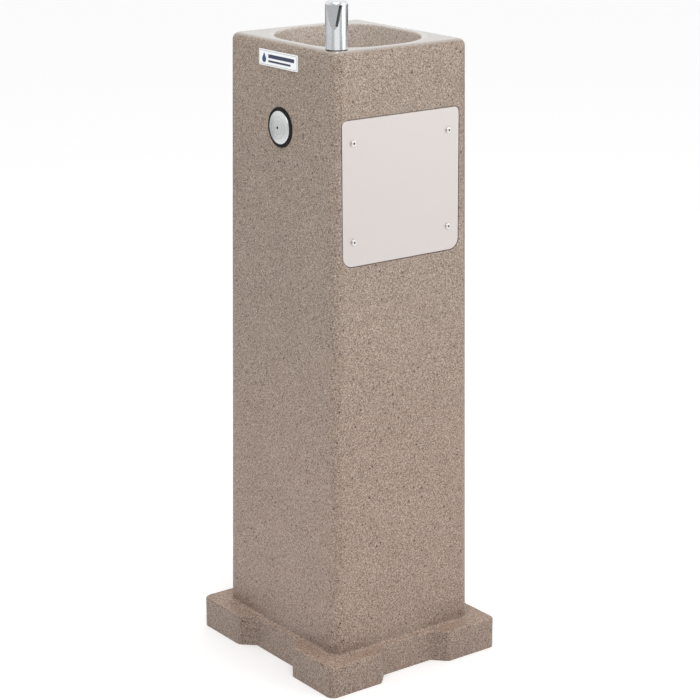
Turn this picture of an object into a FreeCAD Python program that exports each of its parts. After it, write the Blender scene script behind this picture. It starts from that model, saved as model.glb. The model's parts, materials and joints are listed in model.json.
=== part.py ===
import FreeCAD, Part
import math
import os

# Pedestal drinking fountain: a hollow moulded column on four feet, with a basin in its top,
# a push button and a name plate on its front (-Y) face, a screwed access panel on its right
# (+X) face, and the supply, valve, bubbler and drain lines inside it.
# Millimetres. +Z is up. The origin is the centre of the base, on the floor.

# ---- column and rim
RIM_HEIGHT = 914.4
BASE_HALF_X = 138.3
BASE_HALF_Y = 125.0
TAPER = 10.0
WALL = 6.0
EDGE_RADIUS = 15.0
RIM_RADIUS = 10.0

# ---- feet, mid-side flanges and floor flange
FOOT_HEIGHT = 46.8
FOOT_HALF_X = 166.5
FOOT_HALF_Y = 153.2
SKIRT_HALF_X = 146.5
SKIRT_HALF_Y = 133.0
FOOT_END_X = 70.0
FOOT_END_Y = 63.0
FOOT_SLANT = 19.5
FOOT_CORNER_RADIUS = 11.5
FOOT_SIDE_RADIUS = 8.0
FOOT_ROOT_RADIUS = 5.0
FOOT_TOP_RADIUS = 4.0
COLUMN_FOOT_RADIUS = 4.0
FLOOR_THICKNESS = 8.0
FLOOR_OPENING_HALF_X = 100.0
FLOOR_OPENING_HALF_Y = 98.0
FLOOR_OPENING_RADIUS = 30.0
ANCHOR_X = 115.0
ANCHOR_Y = 102.0
ANCHOR_RADIUS = 7.0

# ---- basin
BASIN_HALF_X = 106.5
BASIN_HALF_Y = 95.0
BASIN_TIGHT_CORNER = 64.0
BASIN_WIDE_CORNER = 92.0
BASIN_DRAFT = 4.0
BASIN_DEPTH = 72.0
BASIN_FLOOR_RADIUS = 22.0
BASIN_LIP_RADIUS = 3.5
SUMP_TOP_RADIUS = 60.0
SUMP_MARGIN = 3.0
SUMP_DROP = 12.0

# ---- access panel on the right face (placed by its centre)
PANEL_ACROSS = -4.2
PANEL_HEIGHT = 720.2
PANEL_HALF_WIDTH = 101.6
PANEL_HALF_HEIGHT = 101.6
PANEL_TOP_RADIUS = 8.0
PANEL_BOTTOM_RADIUS = 15.5
PANEL_THICKNESS = 2.0
PANEL_GAP = 1.0
PANEL_BELOW_FACE = 0.4
PANEL_GASKET = 1.0
PANEL_PAD = 6.0
PANEL_PAD_MARGIN = 4.0
PANEL_EDGE_BREAK = 0.3
ACCESS_CORNER = 12.0
SCREW_SIDE_INSET = 18.6
SCREW_TOP_INSET = 31.8
SCREW_BOTTOM_INSET = 34.3
ACCESS_SIDE_INSET = 33.0
ACCESS_END_INSET = 16.5
SCREW_RADIUS = 2.5
SCREW_LENGTH = 13.0
SCREW_HEAD_RADIUS = 4.6
SCREW_HEAD_HEIGHT = 2.2
SCREW_SOCKET_RADIUS = 1.5
SCREW_SOCKET_DEPTH = 1.3
SCREW_CLEARANCE = 0.4
INSERT_RADIUS = 4.5
INSERT_LENGTH = 8.0
BOSS_RADIUS = 8.0
BOSS_LENGTH = 7.0
SCREW_HALF_SPACING = PANEL_HALF_WIDTH - SCREW_SIDE_INSET
SCREW_TOP = PANEL_HALF_HEIGHT - SCREW_TOP_INSET
SCREW_BOTTOM = SCREW_BOTTOM_INSET - PANEL_HALF_HEIGHT
ACCESS_HALF_WIDTH = PANEL_HALF_WIDTH - ACCESS_SIDE_INSET
ACCESS_HALF_HEIGHT = PANEL_HALF_HEIGHT - ACCESS_END_INSET

# ---- name plate on the front face
PLATE_ACROSS = -4.5
PLATE_HEIGHT = 889.2
PLATE_WIDTH = 92.0
PLATE_TALL = 22.6
PLATE_THICKNESS = 1.2
PLATE_CORNER = 2.0
PLATE_EDGE_RADIUS = 0.4
DROP_ACROSS = -33.0
DROP_RADIUS = 4.6
DROP_RELIEF = 0.3

# ---- push button on the front face
BUTTON_HEIGHT = 796.0
BUTTON_TRAVEL = 4.0
BUTTON_RADIUS = 23.25
BUTTON_EDGE_OUT = 3.0
BUTTON_EDGE_IN = -2.5
BUTTON_DOME = 2.5
BUTTON_EDGE_RADIUS = 1.0
BUTTON_DOT_RADIUS = 2.0
BUTTON_DOT_DEPTH = 2.0
BUTTON_CLEARANCE = 0.4
BEZEL_OUT = 1.8
BEZEL_ROUND = 1.2
BEZEL_BARREL_WALL = 1.95
BEZEL_FLANGE = 2.9
BEZEL_DEPTH = 13.5
BEZEL_FLOOR = 2.0
BEZEL_NUT_WIDTH = 6.4
BEZEL_NUT_LENGTH = 5.0
FIT_GAP = 0.05
HOLE_GAP = 0.4
STEM_RADIUS = 4.0
SPRING_RADIUS = 7.5
SPRING_WIRE = 0.5
SPRING_TURNS = 4.0
CUP_RADIUS = BUTTON_RADIUS + BUTTON_CLEARANCE
CUP_FLOOR = BEZEL_FLOOR - BEZEL_DEPTH
BEZEL_BARREL_RADIUS = CUP_RADIUS + BEZEL_BARREL_WALL
BEZEL_RADIUS = BEZEL_BARREL_RADIUS + BEZEL_FLANGE
BEZEL_NUT_RADIUS = BEZEL_BARREL_RADIUS + BEZEL_NUT_WIDTH

# ---- push valve behind the button (depths are measured inwards from the face)
VALVE_RADIUS = 14.0
VALVE_END = 56.0
VALVE_END_RADIUS = 1.0
VALVE_GUIDE_END = 18.0
VALVE_CHAMBER_RADIUS = 9.0
VALVE_CHAMBER_END = 44.0
VALVE_SEAT_DEPTH = 27.5
VALVE_SEAT_LENGTH = 2.5
VALVE_SEAT_BORE = 4.5
STEM_TIP_RADIUS = 2.2
POPPET_RADIUS = 7.0
POPPET_LENGTH = 3.5
POPPET_GAP = 0.3
PORT_RADIUS = 6.5
PORT_REACH = 24.0
INLET_DEPTH = 36.5
REGULATOR_RADIUS = 3.0
REGULATOR_TIP = 43.0
REGULATOR_HEAD_RADIUS = 5.5
REGULATOR_HEAD_LENGTH = 2.8
REGULATOR_SLOT = 1.2
REGULATOR_HEAD_GAP = 0.3

# ---- bubbler on the rim, near the front right corner
BUBBLER_X = 101.8
BUBBLER_Y = -94.5
BUBBLER_RADIUS = 15.4
BUBBLER_TALL = 64.7
BUBBLER_TOP_RADIUS = 4.8
BUBBLER_GASKET = 1.2
BUBBLER_GASKET_MARGIN = 0.9
SHANK_RADIUS = 8.0
SHANK_BORE = 3.75
SHANK_INTO_HEAD = 12.0
SHANK_END = 44.0
SHANK_SPIGOT_RADIUS = 6.0
SHANK_SPIGOT_LENGTH = 8.0
SCOOP_TURN = -50.0
SCOOP_HOOD = 5.0
SCOOP_REACH = 10.4
SCOOP_LENGTH = 33.0
SLIT_WIDTH = 3.6
SLIT_LENGTH = 28.5
SLIT_DEPTH = 6.0
SLIT_LEAN = 9.0
SLIT_ACROSS = 8.0
LOCKNUT_RADIUS = 11.6
LOCKNUT_LENGTH = 8.0
WASHER_RADIUS = 11.8
WASHER_THICKNESS = 1.5

# ---- small supply tube
TUBE_RADIUS = 4.75
TUBE_BORE = 3.75
TUBE_BEND = 25.0
TUBE_NUT_RADIUS = 8.0
TUBE_NUT_LENGTH = 14.0
NUT_END_SHARE = 0.9

# ---- supply riser: pipe, stop valve and strainer
RISER_X = -66.0
PIPE_RADIUS = 7.95
PIPE_BORE = 6.8
SOCKET_DEPTH = 9.0
ADAPTER_RADIUS = 10.4
ADAPTER_THREAD = 22.0
ADAPTER_HEX_RADIUS = 13.5
ADAPTER_LENGTH = 38.0
STOP_HEIGHT = 590.0
STOP_HALF_LENGTH = 34.0
STOP_NECK_RADIUS = 11.5
STOP_HOUSING_RADIUS = 17.0
STOP_HEX_RADIUS = 14.5
STOP_HEX_LENGTH = 14.0
STOP_BONNET_RADIUS = 8.0
STOP_BONNET_END = 24.0
BALL_RADIUS = 12.0
BALL_CAVITY_RADIUS = 12.05
BALL_BORE = 6.0
STOP_STEM_RADIUS = 4.0
STOP_STEM_START = 8.0
STOP_STEM_END = 38.5
PACKING_NUT_LENGTH = 6.0
LEVER_START = 31.0
LEVER_THICKNESS = 3.0
LEVER_HUB_RADIUS = 9.0
LEVER_HALF_WIDTH = 6.0
LEVER_LENGTH = 54.0
GRIP_LENGTH = 30.0
GRIP_WALL = 1.5
LEVER_NUT_RADIUS = 6.5
LEVER_NUT_LENGTH = 4.0
PIPE_NUT_RADIUS = 14.0
PIPE_NUT_LENGTH = 14.0
PIPE_NUT_OVERLAP = 6.0
STRAINER_BOTTOM = 652.0
STRAINER_LENGTH = 60.0
STRAINER_RADIUS = 14.0
STRAINER_END_RADIUS = 2.0
STRAINER_NECK_RADIUS = 11.0
STRAINER_NECK_LENGTH = 12.0
LINK_CLEAR = 0.1

# ---- drain
DRAIN_FLANGE_WIDTH = 8.5
DRAIN_FLANGE_THICKNESS = 3.0
DRAIN_FLANGE_ROUND = 1.0
DRAIN_GASKET = 1.0
DRAIN_RADIUS = 18.5
DRAIN_WALL = 3.0
DRAIN_LENGTH = 56.0
GRATE_INSET = 5.3
GRATE_THICKNESS = 1.4
GRATE_HOLE_RADIUS = 2.0
GRATE_RINGS = ((8.0, 6), (14.0, 12))
GRATE_SCREW_RADIUS = 2.0
GRATE_SCREW_HEAD = 4.0
GRATE_SCREW_HEAD_HEIGHT = 1.6
GRATE_SCREW_HEAD_ROUND = 1.0
CROSSBAR_WIDTH = 7.0
CROSSBAR_THICKNESS = 5.0
CROSSBAR_DROP = 8.0
DRAIN_NUT_WIDTH = 7.5
DRAIN_NUT_LENGTH = 9.0
WASTE_TUBE_RADIUS = 15.9
WASTE_TUBE_BORE = 14.6
TRAP_RADIUS = 18.3
TRAP_BORE = 16.0
SLIP_NUT_WIDTH = 4.5
SLIP_NUT_LENGTH = 22.0
SLIP_FLANGE = 2.0
TRAP_BEND = 35.0
TRAP_INLET = 728.0
TRAP_OUTLET = 716.0
TRAP_BEND_HEIGHT = 685.0
TAILPIECE_BOTTOM = 702.0
CROWN_BEND_HEIGHT = 745.0
CROWN_INLET = 698.0
WASTE_JOINT = 706.0
SLEEVE_HALF_LENGTH = 24.0
SLEEVE_RADIUS = 20.0
CLAMP_WIDTH = 8.0
CLAMP_RADIUS = 21.2
CLAMP_OFFSET = 15.0
WASTE_END_RADIUS = 20.0
WASTE_END_LENGTH = 40.0
DRAIN_FLANGE_RADIUS = DRAIN_RADIUS + DRAIN_FLANGE_WIDTH
DRAIN_BORE = DRAIN_RADIUS - DRAIN_WALL
DRAIN_NUT_RADIUS = DRAIN_RADIUS + DRAIN_NUT_WIDTH
GRATE_RADIUS = DRAIN_FLANGE_RADIUS - GRATE_INSET
SUMP_RADIUS = DRAIN_FLANGE_RADIUS + SUMP_MARGIN
TRAP_NUT_RADIUS = TRAP_RADIUS + SLIP_NUT_WIDTH
TAILPIECE_NUT_RADIUS = DRAIN_RADIUS + SLIP_NUT_WIDTH

# how far a cut runs past the face it opens, and how close counts as touching
PAST = 1.0
TOUCHING = 0.01
FRONT = "front"
RIGHT = "right"
V = FreeCAD.Vector
UP = V(0, 0, 1)

FACE_TILT = math.degrees(math.atan(TAPER / RIM_HEIGHT))
SUMP_FLOOR = RIM_HEIGHT - BASIN_DEPTH - SUMP_DROP
BUBBLER_BOTTOM = RIM_HEIGHT + BUBBLER_GASKET
BUBBLER_TOP = BUBBLER_BOTTOM + BUBBLER_TALL


# ---- general shapes

def cylinder(radius, low, high, x=0.0, y=0.0):
    return Part.makeCylinder(radius, high - low, V(x, y, low), UP)


def ring(outer, inner, low, high, x=0.0, y=0.0):
    return cylinder(outer, low, high, x, y).cut(cylinder(inner, low - PAST, high + PAST, x, y))


def at_bubbler(radius, low, high, bore=0.0):
    """Upright cylinder or ring on the bubbler's centre line."""
    if bore:
        return ring(radius, bore, low, high, BUBBLER_X, BUBBLER_Y)
    return cylinder(radius, low, high, BUBBLER_X, BUBBLER_Y)


def on_riser(radius, low, high, bore=0.0):
    """Upright cylinder or ring on the supply riser's centre line."""
    if bore:
        return ring(radius, bore, low, high, RISER_X, RISER_Y)
    return cylinder(radius, low, high, RISER_X, RISER_Y)


def hexagon(corner_radius, low, high, x=0.0, y=0.0):
    turns = [math.radians(60.0 * side) for side in range(6)]
    corners = [V(x + corner_radius * math.cos(a), y + corner_radius * math.sin(a), low) for a in turns]
    return Part.Face(Part.makePolygon(corners + corners[:1])).extrude(UP * (high - low))


def hex_nut(corner_radius, bore, low, high, x=0.0, y=0.0):
    chamfer = Part.makeCone(
        corner_radius + (high - low) / 2, corner_radius * NUT_END_SHARE, high - low, V(x, y, low), UP
    )
    body = hexagon(corner_radius, low, high, x, y).common(chamfer)
    return body.cut(cylinder(bore, low - PAST, high + PAST, x, y))


def block(low, high):
    return Part.makeBox(high[0] - low[0], high[1] - low[1], high[2] - low[2], V(*low))


def rounded_outline(corners, radii, height):
    """Closed outline through flat corners, each rounded to its own radius."""
    arcs = []
    for index, (x, y) in enumerate(corners):
        here = V(x, y, height)
        back = (V(*corners[index - 1], height) - here).normalize()
        ahead = (V(*corners[(index + 1) % len(corners)], height) - here).normalize()
        half_angle = back.getAngle(ahead) / 2
        inward = (back + ahead).normalize()
        centre = here + inward * (radii[index] / math.sin(half_angle))
        reach = radii[index] / math.tan(half_angle)
        arcs.append((here + back * reach, centre - inward * radii[index], here + ahead * reach))
    edges = []
    for index, (start, middle, end) in enumerate(arcs):
        edges.append(Part.Arc(start, middle, end).toShape())
        edges.append(Part.LineSegment(end, arcs[(index + 1) % len(arcs)][0]).toShape())
    return Part.Wire(edges)


def rounded_rectangle(half_x, half_y, radius, height, x=0.0, y=0.0):
    corners = [(x + half_x, y + half_y), (x - half_x, y + half_y),
               (x - half_x, y - half_y), (x + half_x, y - half_y)]
    return rounded_outline(corners, [radius] * 4, height)


def slab(outline, thickness):
    return Part.Face(outline).extrude(UP * thickness)


def flat_edges(shape, height, half_x, half_y):
    """Edges lying at one height and inside a centred rectangle."""
    def inside(point):
        return abs(point.Z - height) < TOUCHING and abs(point.X) < half_x and abs(point.Y) < half_y
    return [edge for edge in shape.Edges if all(inside(vertex) for vertex in edge.Vertexes)]


def upper_edges(shape, height):
    return [edge for edge in shape.Edges if edge.BoundBox.ZMin > height]


def swept(route, radius, bore):
    """Round tube along straight runs and tangent arcs."""
    first = route.Edges[0]
    start = first.valueAt(first.FirstParameter)
    heading = first.tangentAt(first.FirstParameter)

    def pipe(size):
        profile = Part.Wire([Part.makeCircle(size, start, heading)])
        return route.makePipeShell([profile], True, False)
    return pipe(radius).cut(pipe(bore))


def face_inset(height):
    return TAPER * height / RIM_HEIGHT


def placement_on(side, across, height):
    """Frame on a sloping face: X across, Y up the slope, Z outwards."""
    turn = FreeCAD.Rotation(V(1, 0, 0), 90.0 - FACE_TILT)
    if side == FRONT:
        return FreeCAD.Placement(V(across, face_inset(height) - BASE_HALF_Y, height), turn)
    turn = FreeCAD.Rotation(UP, 90.0).multiply(turn)
    return FreeCAD.Placement(V(BASE_HALF_X - face_inset(height), across, height), turn)


def seat(shape, side, across, height):
    placed = shape.copy()
    placed.Placement = placement_on(side, across, height).multiply(placed.Placement)
    return placed


def on_panel(shape):
    return seat(shape, RIGHT, PANEL_ACROSS, PANEL_HEIGHT)


def on_button(shape):
    return seat(shape, FRONT, 0.0, BUTTON_HEIGHT)


def valve_point(depth):
    return placement_on(FRONT, 0.0, BUTTON_HEIGHT).multVec(V(0, 0, -depth))


def outlet_depth():
    """Depth at which the outlet port lines up with the bubbler."""
    face = BASE_HALF_Y - face_inset(BUTTON_HEIGHT)
    return (face + BUBBLER_Y) / math.cos(math.radians(FACE_TILT))


RISER_Y = valve_point(INLET_DEPTH).y


# ---- pedestal

def tapered_column(inset, low, high, edge_radius):
    def section(height):
        half_x = BASE_HALF_X - inset - face_inset(height)
        half_y = BASE_HALF_Y - inset - face_inset(height)
        corners = [V(half_x, half_y, height), V(-half_x, half_y, height),
                   V(-half_x, -half_y, height), V(half_x, -half_y, height)]
        return Part.makePolygon(corners + corners[:1])
    body = Part.makeLoft([section(low), section(high)], True, True)
    uprights = [e for e in body.Edges if abs(e.Vertexes[0].Z - e.Vertexes[1].Z) > PAST]
    return body.makeFillet(edge_radius, uprights)


def base_outline(height):
    """Four feet at the corners, joined by lower-set flanges along the sides."""
    quarter = [(SKIRT_HALF_X, FOOT_END_Y - FOOT_SLANT), (FOOT_HALF_X, FOOT_END_Y),
               (FOOT_HALF_X, FOOT_HALF_Y),
               (FOOT_END_X, FOOT_HALF_Y), (FOOT_END_X - FOOT_SLANT, SKIRT_HALF_Y)]
    softness = [FOOT_ROOT_RADIUS, FOOT_SIDE_RADIUS, FOOT_CORNER_RADIUS, FOOT_SIDE_RADIUS, FOOT_ROOT_RADIUS]
    corners = []
    radii = []
    for sign_x, sign_y in ((1, 1), (-1, 1), (-1, -1), (1, -1)):
        order = sign_x * sign_y
        corners += [(sign_x * x, sign_y * y) for x, y in quarter[::order]]
        radii += softness[::order]
    return rounded_outline(corners, radii, height)


def base_block():
    body = slab(base_outline(0.0), FOOT_HEIGHT)
    return body.makeFillet(FOOT_TOP_RADIUS, flat_edges(body, FOOT_HEIGHT, 2 * FOOT_HALF_X, 2 * FOOT_HALF_Y))


def base_hollow():
    outline = base_outline(FLOOR_THICKNESS).makeOffset2D(-WALL)
    return slab(outline, FOOT_HEIGHT - WALL - FLOOR_THICKNESS)


def basin_outline(grow, height):
    """Tight corners under the bubbler and across from it, wide ones at the two others."""
    half_x = BASIN_HALF_X + grow
    half_y = BASIN_HALF_Y + grow
    corners = [(half_x, half_y), (-half_x, half_y), (-half_x, -half_y), (half_x, -half_y)]
    radii = [BASIN_WIDE_CORNER + grow, BASIN_TIGHT_CORNER + grow] * 2
    return rounded_outline(corners, radii, height)


def basin(grow):
    """Space inside the basin, or, grown by the wall, the basin's outer shape."""
    low = RIM_HEIGHT - BASIN_DEPTH - grow
    outlines = [basin_outline(grow - BASIN_DRAFT, low), basin_outline(grow, RIM_HEIGHT)]
    bowl = Part.makeLoft(outlines, True, True)
    floor_edges = flat_edges(bowl, low, 2 * BASIN_HALF_X, 2 * BASIN_HALF_Y)
    bowl = bowl.makeFillet(BASIN_FLOOR_RADIUS + grow, floor_edges)
    sump_base = V(0, 0, low - SUMP_DROP)
    sump = Part.makeCone(SUMP_RADIUS + grow, SUMP_TOP_RADIUS + grow, SUMP_DROP, sump_base, UP)
    return bowl.fuse(sump)


def panel_outline(grow, height):
    half_x = PANEL_HALF_WIDTH + grow
    half_y = PANEL_HALF_HEIGHT + grow
    corners = [(half_x, half_y), (-half_x, half_y), (-half_x, -half_y), (half_x, -half_y)]
    radii = [PANEL_TOP_RADIUS + grow] * 2 + [PANEL_BOTTOM_RADIUS + grow] * 2
    return rounded_outline(corners, radii, height)


def screw_places():
    return [(side * SCREW_HALF_SPACING, up) for side in (-1, 1) for up in (SCREW_BOTTOM, SCREW_TOP)]


RECESS_DEPTH = PANEL_BELOW_FACE + PANEL_THICKNESS + PANEL_GASKET


def panel_frame():
    """Thickened wall and screw bosses round the access opening."""
    frame = slab(panel_outline(PANEL_PAD_MARGIN, -WALL - PANEL_PAD), PANEL_PAD + WALL / 2)
    for x, y in screw_places():
        frame = frame.fuse(cylinder(BOSS_RADIUS, -WALL - PANEL_PAD - BOSS_LENGTH, -WALL, x, y))
    return frame


def access_opening(height, depth):
    outline = rounded_rectangle(ACCESS_HALF_WIDTH, ACCESS_HALF_HEIGHT, ACCESS_CORNER, height)
    return slab(outline, depth)


def panel_cuts():
    cuts = slab(panel_outline(PANEL_GAP, -RECESS_DEPTH), 2 * RECESS_DEPTH)
    cuts = cuts.fuse(access_opening(-WALL - PANEL_PAD - PAST, WALL + PANEL_PAD + 2 * PAST))
    screw_end = -SCREW_LENGTH - PANEL_BELOW_FACE - PAST
    for x, y in screw_places():
        cuts = cuts.fuse(cylinder(INSERT_RADIUS, -RECESS_DEPTH - INSERT_LENGTH, -PAST, x, y))
        cuts = cuts.fuse(cylinder(SCREW_RADIUS + SCREW_CLEARANCE, screw_end, -PAST, x, y))
    return cuts


def pedestal_shell():
    outside = tapered_column(0.0, 0.0, RIM_HEIGHT, EDGE_RADIUS)
    outside = outside.makeFillet(RIM_RADIUS, flat_edges(outside, RIM_HEIGHT, BASE_HALF_X, BASE_HALF_Y))
    outside = outside.fuse(base_block())
    joint = flat_edges(outside, FOOT_HEIGHT, BASE_HALF_X, BASE_HALF_Y)
    outside = outside.makeFillet(COLUMN_FOOT_RADIUS, joint)
    hollow = tapered_column(WALL, FLOOR_THICKNESS, RIM_HEIGHT - WALL, EDGE_RADIUS - WALL)
    hollow = hollow.fuse(base_hollow()).cut(basin(WALL)).cut(on_panel(panel_frame()))
    shell = outside.cut(hollow).cut(basin(0.0))
    lip = flat_edges(shell, RIM_HEIGHT, BASIN_HALF_X + PAST, BASIN_HALF_Y + PAST)
    shell = shell.makeFillet(BASIN_LIP_RADIUS, lip)
    floor_outline = rounded_rectangle(
        FLOOR_OPENING_HALF_X, FLOOR_OPENING_HALF_Y, FLOOR_OPENING_RADIUS, -PAST
    )
    cuts = [slab(floor_outline, FLOOR_THICKNESS + 2 * PAST)]
    for x in (-ANCHOR_X, ANCHOR_X):
        for y in (-ANCHOR_Y, ANCHOR_Y):
            cuts.append(cylinder(ANCHOR_RADIUS, -PAST, FLOOR_THICKNESS + PAST, x, y))
    cuts.append(cylinder(DRAIN_RADIUS + HOLE_GAP, SUMP_FLOOR - 2 * WALL, SUMP_FLOOR + PAST))
    cuts.append(at_bubbler(SHANK_RADIUS + HOLE_GAP, RIM_HEIGHT - 2 * WALL, RIM_HEIGHT + PAST))
    cuts.append(on_button(cylinder(BEZEL_BARREL_RADIUS + HOLE_GAP, -2 * WALL, WALL)))
    cuts.append(on_panel(panel_cuts()))
    for cut in cuts:
        shell = shell.cut(cut)
    return shell


# ---- access panel

def panel_gasket():
    low = -RECESS_DEPTH
    gasket = slab(panel_outline(-PANEL_GAP, low), PANEL_GASKET)
    gasket = gasket.cut(access_opening(low - PAST, 2 * PAST + PANEL_GASKET))
    for x, y in screw_places():
        gasket = gasket.cut(cylinder(INSERT_RADIUS, low - PAST, 0.0, x, y))
    return on_panel(gasket)


def access_panel():
    low = -PANEL_BELOW_FACE - PANEL_THICKNESS
    plate = slab(panel_outline(0.0, low), PANEL_THICKNESS)
    plate = plate.makeChamfer(PANEL_EDGE_BREAK, upper_edges(plate, low + PAST))
    for x, y in screw_places():
        plate = plate.cut(cylinder(SCREW_RADIUS + SCREW_CLEARANCE, low - PAST, 0.0, x, y))
    return on_panel(plate)


def panel_screw(x, y):
    top = -PANEL_BELOW_FACE
    head = cylinder(SCREW_HEAD_RADIUS, top, top + SCREW_HEAD_HEIGHT, x, y)
    head = head.makeFillet(SCREW_HEAD_HEIGHT / 2, upper_edges(head, top + PAST))
    socket_floor = top + SCREW_HEAD_HEIGHT - SCREW_SOCKET_DEPTH
    socket = cylinder(SCREW_SOCKET_RADIUS, socket_floor, top + 2 * SCREW_HEAD_HEIGHT, x, y)
    return head.fuse(cylinder(SCREW_RADIUS, top - SCREW_LENGTH, top, x, y)).cut(socket)


def panel_screws():
    return on_panel(Part.makeCompound([panel_screw(x, y) for x, y in screw_places()]))


def panel_inserts():
    low = -RECESS_DEPTH - INSERT_LENGTH
    return on_panel(Part.makeCompound([ring(INSERT_RADIUS, SCREW_RADIUS, low, -RECESS_DEPTH, x, y)
                                       for x, y in screw_places()]))


# ---- name plate

def nameplate():
    outline = rounded_rectangle(PLATE_WIDTH / 2, PLATE_TALL / 2, PLATE_CORNER, 0.0)
    plate = slab(outline, PLATE_THICKNESS)
    plate = plate.makeFillet(PLATE_EDGE_RADIUS, upper_edges(plate, PLATE_THICKNESS / 2))
    return seat(plate, FRONT, PLATE_ACROSS, PLATE_HEIGHT)


def nameplate_drop():
    """Plain raised water drop."""
    low = PLATE_THICKNESS
    tip = V(DROP_ACROSS, 2 * DROP_RADIUS - DROP_RADIUS / 2, low)
    centre = V(DROP_ACROSS, -DROP_RADIUS / 2, low)
    touch = math.acos(DROP_RADIUS / (tip.y - centre.y))
    left = centre + V(-math.sin(touch), math.cos(touch), 0) * DROP_RADIUS
    right = centre + V(math.sin(touch), math.cos(touch), 0) * DROP_RADIUS
    edges = [Part.LineSegment(tip, left).toShape(),
             Part.Arc(left, centre - V(0, DROP_RADIUS, 0), right).toShape(),
             Part.LineSegment(right, tip).toShape()]
    return seat(slab(Part.Wire(edges), DROP_RELIEF), FRONT, PLATE_ACROSS, PLATE_HEIGHT)


# ---- push button and valve

def button_bezel():
    flange = cylinder(BEZEL_RADIUS, 0.0, BEZEL_OUT)
    flange = flange.makeFillet(BEZEL_ROUND, upper_edges(flange, BEZEL_OUT / 2))
    body = flange.fuse(cylinder(BEZEL_BARREL_RADIUS, -BEZEL_DEPTH, 0.0))
    body = body.cut(cylinder(CUP_RADIUS, CUP_FLOOR, BEZEL_OUT + PAST))
    return on_button(body.cut(cylinder(STEM_RADIUS + HOLE_GAP, -BEZEL_DEPTH - PAST, 0.0)))


def bezel_locknut():
    low = -WALL - BEZEL_NUT_LENGTH
    return on_button(hex_nut(BEZEL_NUT_RADIUS, BEZEL_BARREL_RADIUS + FIT_GAP, low, -WALL))


def push_button():
    """Shallow dome with a turned edge and a small centre dimple."""
    disc = cylinder(BUTTON_RADIUS, BUTTON_EDGE_IN, BUTTON_EDGE_OUT)
    disc = disc.makeFillet(BUTTON_EDGE_RADIUS, upper_edges(disc, 0.0))
    flat_radius = BUTTON_RADIUS - BUTTON_EDGE_RADIUS
    ball_radius = (flat_radius ** 2 + BUTTON_DOME ** 2) / (2 * BUTTON_DOME)
    ball = Part.makeSphere(ball_radius, V(0, 0, BUTTON_EDGE_OUT + BUTTON_DOME - ball_radius))
    dome = ball.common(cylinder(flat_radius, 0.0, BUTTON_EDGE_OUT + 2 * BUTTON_DOME))
    top = BUTTON_EDGE_OUT + BUTTON_DOME
    return on_button(disc.fuse(dome).cut(cylinder(BUTTON_DOT_RADIUS, top - BUTTON_DOT_DEPTH, top + PAST)))


POPPET_TOP = -VALVE_SEAT_DEPTH - VALVE_SEAT_LENGTH - POPPET_GAP


def button_stem():
    thick = cylinder(STEM_RADIUS, -VALVE_GUIDE_END, BUTTON_EDGE_IN)
    return on_button(thick.fuse(cylinder(STEM_TIP_RADIUS, POPPET_TOP - POPPET_LENGTH, -VALVE_GUIDE_END)))


def valve_poppet():
    return on_button(ring(POPPET_RADIUS, STEM_TIP_RADIUS, POPPET_TOP - POPPET_LENGTH, POPPET_TOP))


def valve_seat():
    low = -VALVE_SEAT_DEPTH - VALVE_SEAT_LENGTH
    return on_button(ring(VALVE_CHAMBER_RADIUS, VALVE_SEAT_BORE, low, -VALVE_SEAT_DEPTH))


def return_spring():
    """Coil round the stem, from the cup floor to the back of the button."""
    free_length = BUTTON_EDGE_IN - CUP_FLOOR - 2 * SPRING_WIRE - 2 * FIT_GAP
    low = CUP_FLOOR + SPRING_WIRE + FIT_GAP
    helix = Part.makeHelix(free_length / SPRING_TURNS, free_length, SPRING_RADIUS)
    profile = Part.Wire([Part.makeCircle(SPRING_WIRE, V(SPRING_RADIUS, 0, 0), V(0, 1, 0))])
    coil = Part.Wire(helix.Edges).makePipeShell([profile], True, True)
    coil.translate(V(0, 0, low))
    return on_button(coil)


def port(side, depth):
    """Side port of the valve, lying along X."""
    body = Part.makeCylinder(PORT_RADIUS, PORT_REACH, V(0, 0, -depth), V(side, 0, 0))
    bore = Part.makeCylinder(TUBE_BORE, PORT_REACH + PAST, V(0, 0, -depth), V(side, 0, 0))
    return body, bore


def valve_body():
    body = cylinder(VALVE_RADIUS, -VALVE_END, -BEZEL_DEPTH)
    body = body.makeFillet(VALVE_END_RADIUS, [e for e in body.Edges if e.BoundBox.ZMax < -VALVE_END + PAST])
    chamber = cylinder(VALVE_CHAMBER_RADIUS, -VALVE_CHAMBER_END, -VALVE_GUIDE_END)
    bores = [cylinder(STEM_RADIUS + FIT_GAP, -VALVE_GUIDE_END - BUTTON_TRAVEL - PAST, 0.0),
             cylinder(REGULATOR_RADIUS + FIT_GAP, -VALVE_END - PAST, -VALVE_CHAMBER_END)]
    for side, depth in ((1, outlet_depth()), (-1, INLET_DEPTH)):
        outer, bore = port(side, depth)
        body = body.fuse(outer)
        bores.append(bore)
    for bore in [chamber] + bores:
        body = body.cut(bore)
    return on_button(body)


def regulator_screw():
    low = -VALVE_END - REGULATOR_HEAD_GAP - REGULATOR_HEAD_LENGTH
    head = cylinder(REGULATOR_HEAD_RADIUS, low, low + REGULATOR_HEAD_LENGTH)
    slot = block((-2 * REGULATOR_HEAD_RADIUS, -REGULATOR_SLOT / 2, low - PAST),
                 (2 * REGULATOR_HEAD_RADIUS, REGULATOR_SLOT / 2, low + REGULATOR_SLOT))
    return on_button(head.fuse(cylinder(REGULATOR_RADIUS, low + PAST, -REGULATOR_TIP)).cut(slot))


# ---- bubbler

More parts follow.
